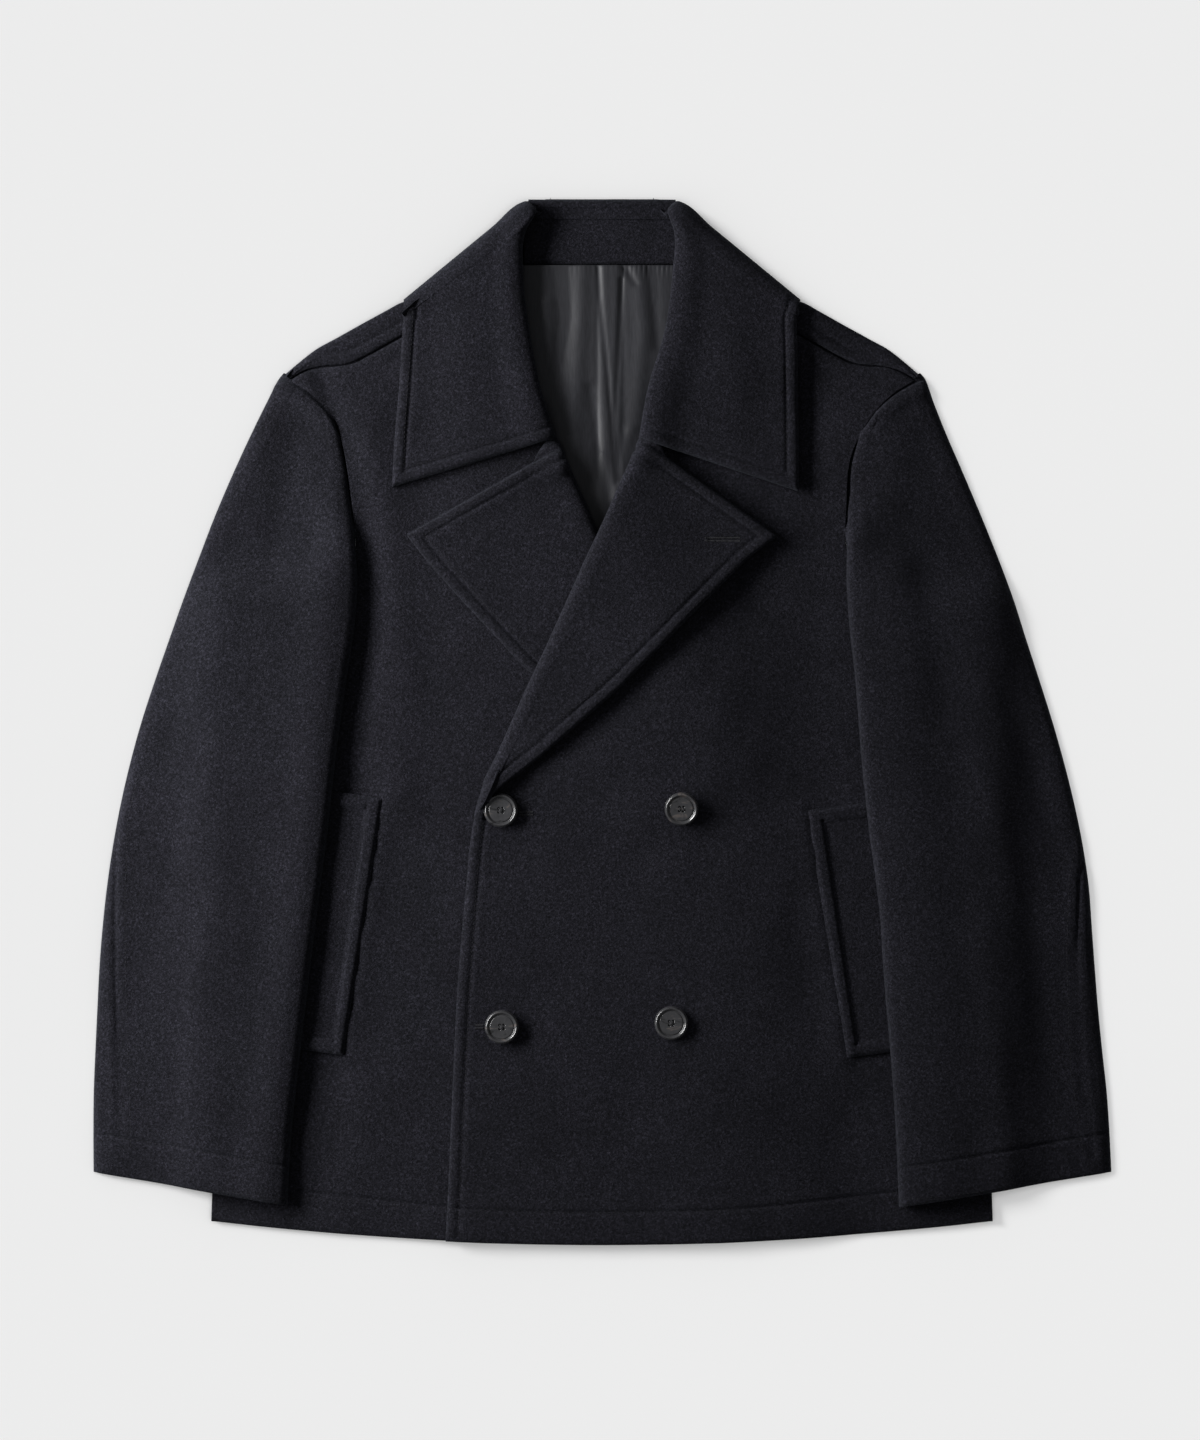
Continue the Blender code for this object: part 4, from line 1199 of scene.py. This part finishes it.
def make_button(number, x, y):
    """One button, and the paths of its sewing thread."""
    turns = [2.0 * math.pi * k / BUTTON_STEPS for k in range(BUTTON_STEPS)]
    rows = [[(r, a, button_height(r, a)) for a in turns] for r in RADII]
    rows += [[(r, a, z) for a in turns] for r, z in BUTTON_UNDER]
    verts = [(r * math.cos(a) * MM, r * math.sin(a) * MM, z * MM) for row in rows for r, a, z in row]
    lean = button_lean(x, y)
    place = Vector((x, y, left_low(x, y) + WALL + BUTTON_SEAT))
    mesh = bpy.data.meshes.new("button")
    mesh.from_pydata(verts, [], ring_faces(len(rows), BUTTON_STEPS).tolist())
    bm = bmesh.new()
    bm.from_mesh(mesh)
    bmesh.ops.remove_doubles(bm, verts=bm.verts, dist=0.000002)
    bmesh.ops.recalc_face_normals(bm, faces=bm.faces)
    bm.transform(lean)
    bmesh.ops.translate(bm, verts=bm.verts, vec=place * MM)
    bm.to_mesh(mesh)
    bm.free()
    dress("button_%d_horn" % number, mesh, horn_look("horn_%d" % number, number), ["button_%d" % number])

    threads = []
    for (ax, ay), (bx, by) in PARALLEL_BARS if number == PARALLEL_SEWN else CROSSED_BARS:
        for shift in (-THREAD_APART, THREAD_APART):
            path = []
            for t in (0.0, 0.2, 0.5, 0.8, 1.0):
                p, q = mix(ax, bx, t) * HOLE_OUT + shift, mix(ay, by, t) * HOLE_OUT - shift
                path.append(lean @ Vector((p, q, BUTTON_HEIGHT - 1.5 + 0.75 * math.sin(math.pi * t))) + place)
            threads.append(path)
    return threads


# Thread

TUBE_SIDES = 5
STITCH_PITCH = 3.3
STITCH_LENGTH = 2.3
STITCH_RADIUS = 0.24
STITCH_LIFTS = (-0.23, 0.05, -0.23)      # a stitch's start, middle and end over the cloth
HINDARM_INSET = 7.5
HEM_ENDS = {"left": -98, "right": -112}      # x beside the front edge, where the hem's stitches start
HEM_STITCH_END = 275.0
HOLE_PITCH = 0.75
HOLE_STITCH = [(0.35, 0.0), (1.0, 0.22), (1.7, 0.0)]      # distance from the slit, lift

# Topstitching: the lapels, the front edge, the collar's leaves and its top edge
TOPSTITCHES = [
    [(41.8, 189.5), (56.2, 178.2), (72, 166.1), (89.3, 152.6), (104, 142.2), (113.2, 134.5),
     (113.8, 131.1), (106.6, 121.3), (95, 109.8), (81.4, 96.1), (64.8, 81), (49, 65.9),
     (36.7, 55.1), (22.3, 42.1), (5.8, 29), (-10.8, 16.8), (-36, -1.5)],
    [(-38.9, 188.5), (-65.5, 174.8), (-88.6, 161.3), (-113, 143.8), (-127.4, 133.7), (-113, 118.2),
     (-99.4, 102.4), (-84.6, 84.4), (-65.5, 65.7), (-47.3, 48.1)],
    [(-85.2, -72.2), (-86.7, -84.4), (-89, -104), (-90.5, -120.6), (-95.6, -200.5), (-98.2, -260.3),
     (-100.6, -296.3), (-102, -332.3), (-103.4, -366.3)],
    [(132.3, 297.8), (132.5, 178.2), (129.6, 176.8), (115.9, 180.9), (95, 187), (72, 195.5),
     (50, 204)],
    [(-135.4, 297.9), (-136.1, 278.3), (-138, 256.7), (-139.7, 238.7), (-141.6, 209.9), (-142.3, 181.8),
     (-119.5, 188.3), (-92.9, 196.9), (-65.5, 203.4)],
    [(16.6, 363.6), (40, 363.6)],
    [(-40, 363.6), (16.6, 363.6)],
]


def ring_faces(rings, sides_count):
    """Quads between rings of equally many points."""
    i, k = np.meshgrid(np.arange(rings - 1), np.arange(sides_count), indexing="ij")
    n = (k + 1) % sides_count
    quads = [i * sides_count + k, (i + 1) * sides_count + k, (i + 1) * sides_count + n, i * sides_count + n]
    return np.stack(quads, axis=-1).reshape(-1, 4)


def tube(path, radius, sides_count=TUBE_SIDES):
    """A round thread through a list of points, thinner at its ends."""
    path = [Vector(p) for p in path]
    verts = []
    for i, p in enumerate(path):
        way = (path[min(i + 1, len(path) - 1)] - path[max(i - 1, 0)]).normalized()
        a = way.cross(Vector((0.0, 0.0, 1.0)))
        a = a.normalized() if a.length > 0.01 else Vector((1.0, 0.0, 0.0))
        b = way.cross(a)
        swell = radius * (0.55 if i in (0, len(path) - 1) else 1.0)
        for q in (2.0 * math.pi * k / sides_count for k in range(sides_count)):
            verts.append(tuple(p + (a * math.cos(q) + b * math.sin(q)) * swell))
    return np.array(verts), ring_faces(len(path), sides_count)[:, ::-1]


def tree_of(obj):
    corners = [v.co.copy() for v in obj.data.vertices]
    return BVHTree.FromPolygons(corners, [tuple(p.vertices) for p in obj.data.polygons])


trees = [tree_of(obj) for obj in cloth]


def on_cloth(rows):
    """Points over the coat's top, from rows of x, y and lift, or None where one is off it."""
    points = []
    for x, y, lift in rows:
        hits = [tree.ray_cast(Vector((x * MM, y * MM, 0.2)), Vector((0.0, 0.0, -1.0)))[0] for tree in trees]
        tops = [hit.z / MM for hit in hits if hit]
        if not tops:
            return None
        points.append((x, y, max(tops) + lift))
    return points


def stitched(line):
    """Stitches along a line in plan, lying on the cloth, but none over a step."""
    run = sum(math.dist(a, b) for a, b in zip(line, line[1:]))
    found = []
    for k in range(int(run / STITCH_PITCH)):
        ends = [along(line, (k * STITCH_PITCH + s * STITCH_LENGTH) / run) for s in (0.0, 0.5, 1.0)]
        points = on_cloth([(x, y, lift) for (x, y), lift in zip(ends, STITCH_LIFTS)])
        if points and max(p[2] for p in points) - min(p[2] for p in points) < 1.5:
            found.append(tube(points, STITCH_RADIUS))
    return found


def offset(line, by):
    """A line moved sideways by a distance, to its left where it is positive."""
    moved = []
    for i, p in enumerate(line):
        a, b = line[max(i - 1, 0)], line[min(i + 1, len(line) - 1)]
        length = math.dist(a, b)
        moved.append((p[0] - (b[1] - a[1]) / length * by, p[1] + (b[0] - a[0]) / length * by))
    return moved


def hem_line(side):
    return [(x, hem_y(x) + HEM_STITCH) for x in np.linspace(HEM_ENDS[side], SIGN[side] * HEM_STITCH_END, 12)]


def cuff_line(side):
    outer, inner = sleeve_edges(side, 1.0)
    reach = math.dist(outer, inner)
    up = ((inner[1] - outer[1]) / reach, (outer[0] - inner[0]) / reach)
    return [(SIGN[side] * (mix(outer[0], inner[0], t) + up[0] * CUFF_STITCH),
             mix(outer[1], inner[1], t) + up[1] * CUFF_STITCH) for t in (0.05, 0.5, 0.97)]


def buttonhole(x0, x1, y):
    """A worked hole: two rows of close stitches round a slit."""
    stitches = [on_cloth([(x, y + way * out, lift) for out, lift in HOLE_STITCH])
                for x in np.arange(x0, x1, HOLE_PITCH) for way in (-1.0, 1.0)]
    return [tube(points, THREAD_RADIUS) for points in stitches if points]


lines = TOPSTITCHES + [offset(HINDARM[side], -SIGN[side] * HINDARM_INSET) for side in SIGN]
for side in SIGN:
    lines += [hem_line(side), cuff_line(side)]
piece("topstitching", [stitch for line in lines for stitch in stitched(line)],
      thread_look("topstitch_thread", tint(WOOL, 0.75)), [])

paths = [path for number, (x, y) in enumerate(BUTTONS, 1) for path in make_button(number, x, y)]
piece("button_threads", [tube(path, THREAD_RADIUS, TUBE_SIDES + 1) for path in paths],
      thread_look("button_thread", BUTTON_THREAD), [])
piece("buttonhole_stitching", [stitch for hole in BUTTONHOLES.values() for stitch in buttonhole(*hole)],
      thread_look("buttonhole_thread", HOLE_THREAD), [])


# Floor, sheets, light and camera, in metres

FLOOR_HALF = 25.0      # past what low views see
AMBIENT = 0.27
AMBIENT_COLOUR = (0.97, 0.985, 1.0, 1.0)

# Soft suns on the floor alone: azimuth clockwise of +Y, elevation, strength, angle across
SUNS = {"key": (-62.0, 32.0, 1.5, 20.0), "over": (0.0, 88.0, 1.345, 60.0)}

# A long soft box low on the coat's right-hand side, which lights the coat alone and fades across it
STRIP_SIZE = (1.1, 0.34)
STRIP_PLACE = (-1.12, 0.30, 0.54)
STRIP_AIM = (-0.05, 0.0, 0.0)
STRIP_POWER = 63.0
CAMERA_PLACE = (-0.00144, 0.00108, 3.0)
CAMERA_LENS = 104.0
CAMERA_SENSOR = 36.0


def make_floor():
    mesh = bpy.data.meshes.new("floor")
    corners = [(x * FLOOR_HALF, y * FLOOR_HALF, 0.0) for x, y in ((-1, -1), (1, -1), (1, 1), (-1, 1))]
    mesh.from_pydata(corners, [], [(0, 1, 2, 3)])
    floor = bpy.data.objects.new("floor", mesh)
    look, tree, shader, place = shader_nodes("pale_floor", {"Roughness": 0.9, "Specular IOR Level": 0.1})
    drift = ramp(tree, noise(tree, place, 3.0, 2.0), list(zip((0.3, 0.7), PALE_FLOOR)))
    tree.links.new(drift, shader.inputs["Base Color"])
    mesh.materials.append(look)
    scene.collection.objects.link(floor)
    return floor


def lit_only(name, lights, objects):
    """The lights fall on these objects alone."""
    group = bpy.data.collections.new(name)
    scene.collection.children.link(group)
    for obj in objects:
        group.objects.link(obj)
    for light in lights:
        light.light_linking.receiver_collection = group


def make_light(name, kind, way):
    """A light that shines against a direction."""
    light = bpy.data.lights.new(name, kind)
    obj = bpy.data.objects.new(name, light)
    obj.rotation_euler = way.to_track_quat("Z", "Y").to_euler()
    scene.collection.objects.link(obj)
    return obj


def make_sun(name, azimuth, elevation, strength, spread):
    a, e = math.radians(azimuth), math.radians(elevation)
    obj = make_light(name, "SUN", Vector((math.sin(a) * math.cos(e), math.cos(a) * math.cos(e), math.sin(e))))
    obj.data.energy = strength
    obj.data.angle = math.radians(spread)
    return obj


def make_strip():
    obj = make_light("strip", "AREA", Vector(STRIP_PLACE) - Vector(STRIP_AIM))
    obj.location = STRIP_PLACE
    obj.data.shape = "RECTANGLE"
    obj.data.size, obj.data.size_y = STRIP_SIZE
    obj.data.energy = STRIP_POWER
    return obj


floor = make_floor()

scene.view_settings.view_transform = "Standard"
world = bpy.data.worlds.new("studio")
world.use_nodes = True
set_values(world.node_tree.nodes["Background"], {"Color": AMBIENT_COLOUR, "Strength": AMBIENT})
scene.world = world
lit_only("lit_ground", [make_sun(name, *row) for name, row in SUNS.items()], [floor])
lit_only("lit_coat", [make_strip()], [obj for obj in scene.objects if obj.type == "MESH" and obj != floor])

camera = bpy.data.cameras.new("camera")
camera.lens = CAMERA_LENS
camera.sensor_width = CAMERA_SENSOR
viewer = bpy.data.objects.new("camera", camera)
viewer.location = CAMERA_PLACE
scene.collection.objects.link(viewer)
scene.camera = viewer
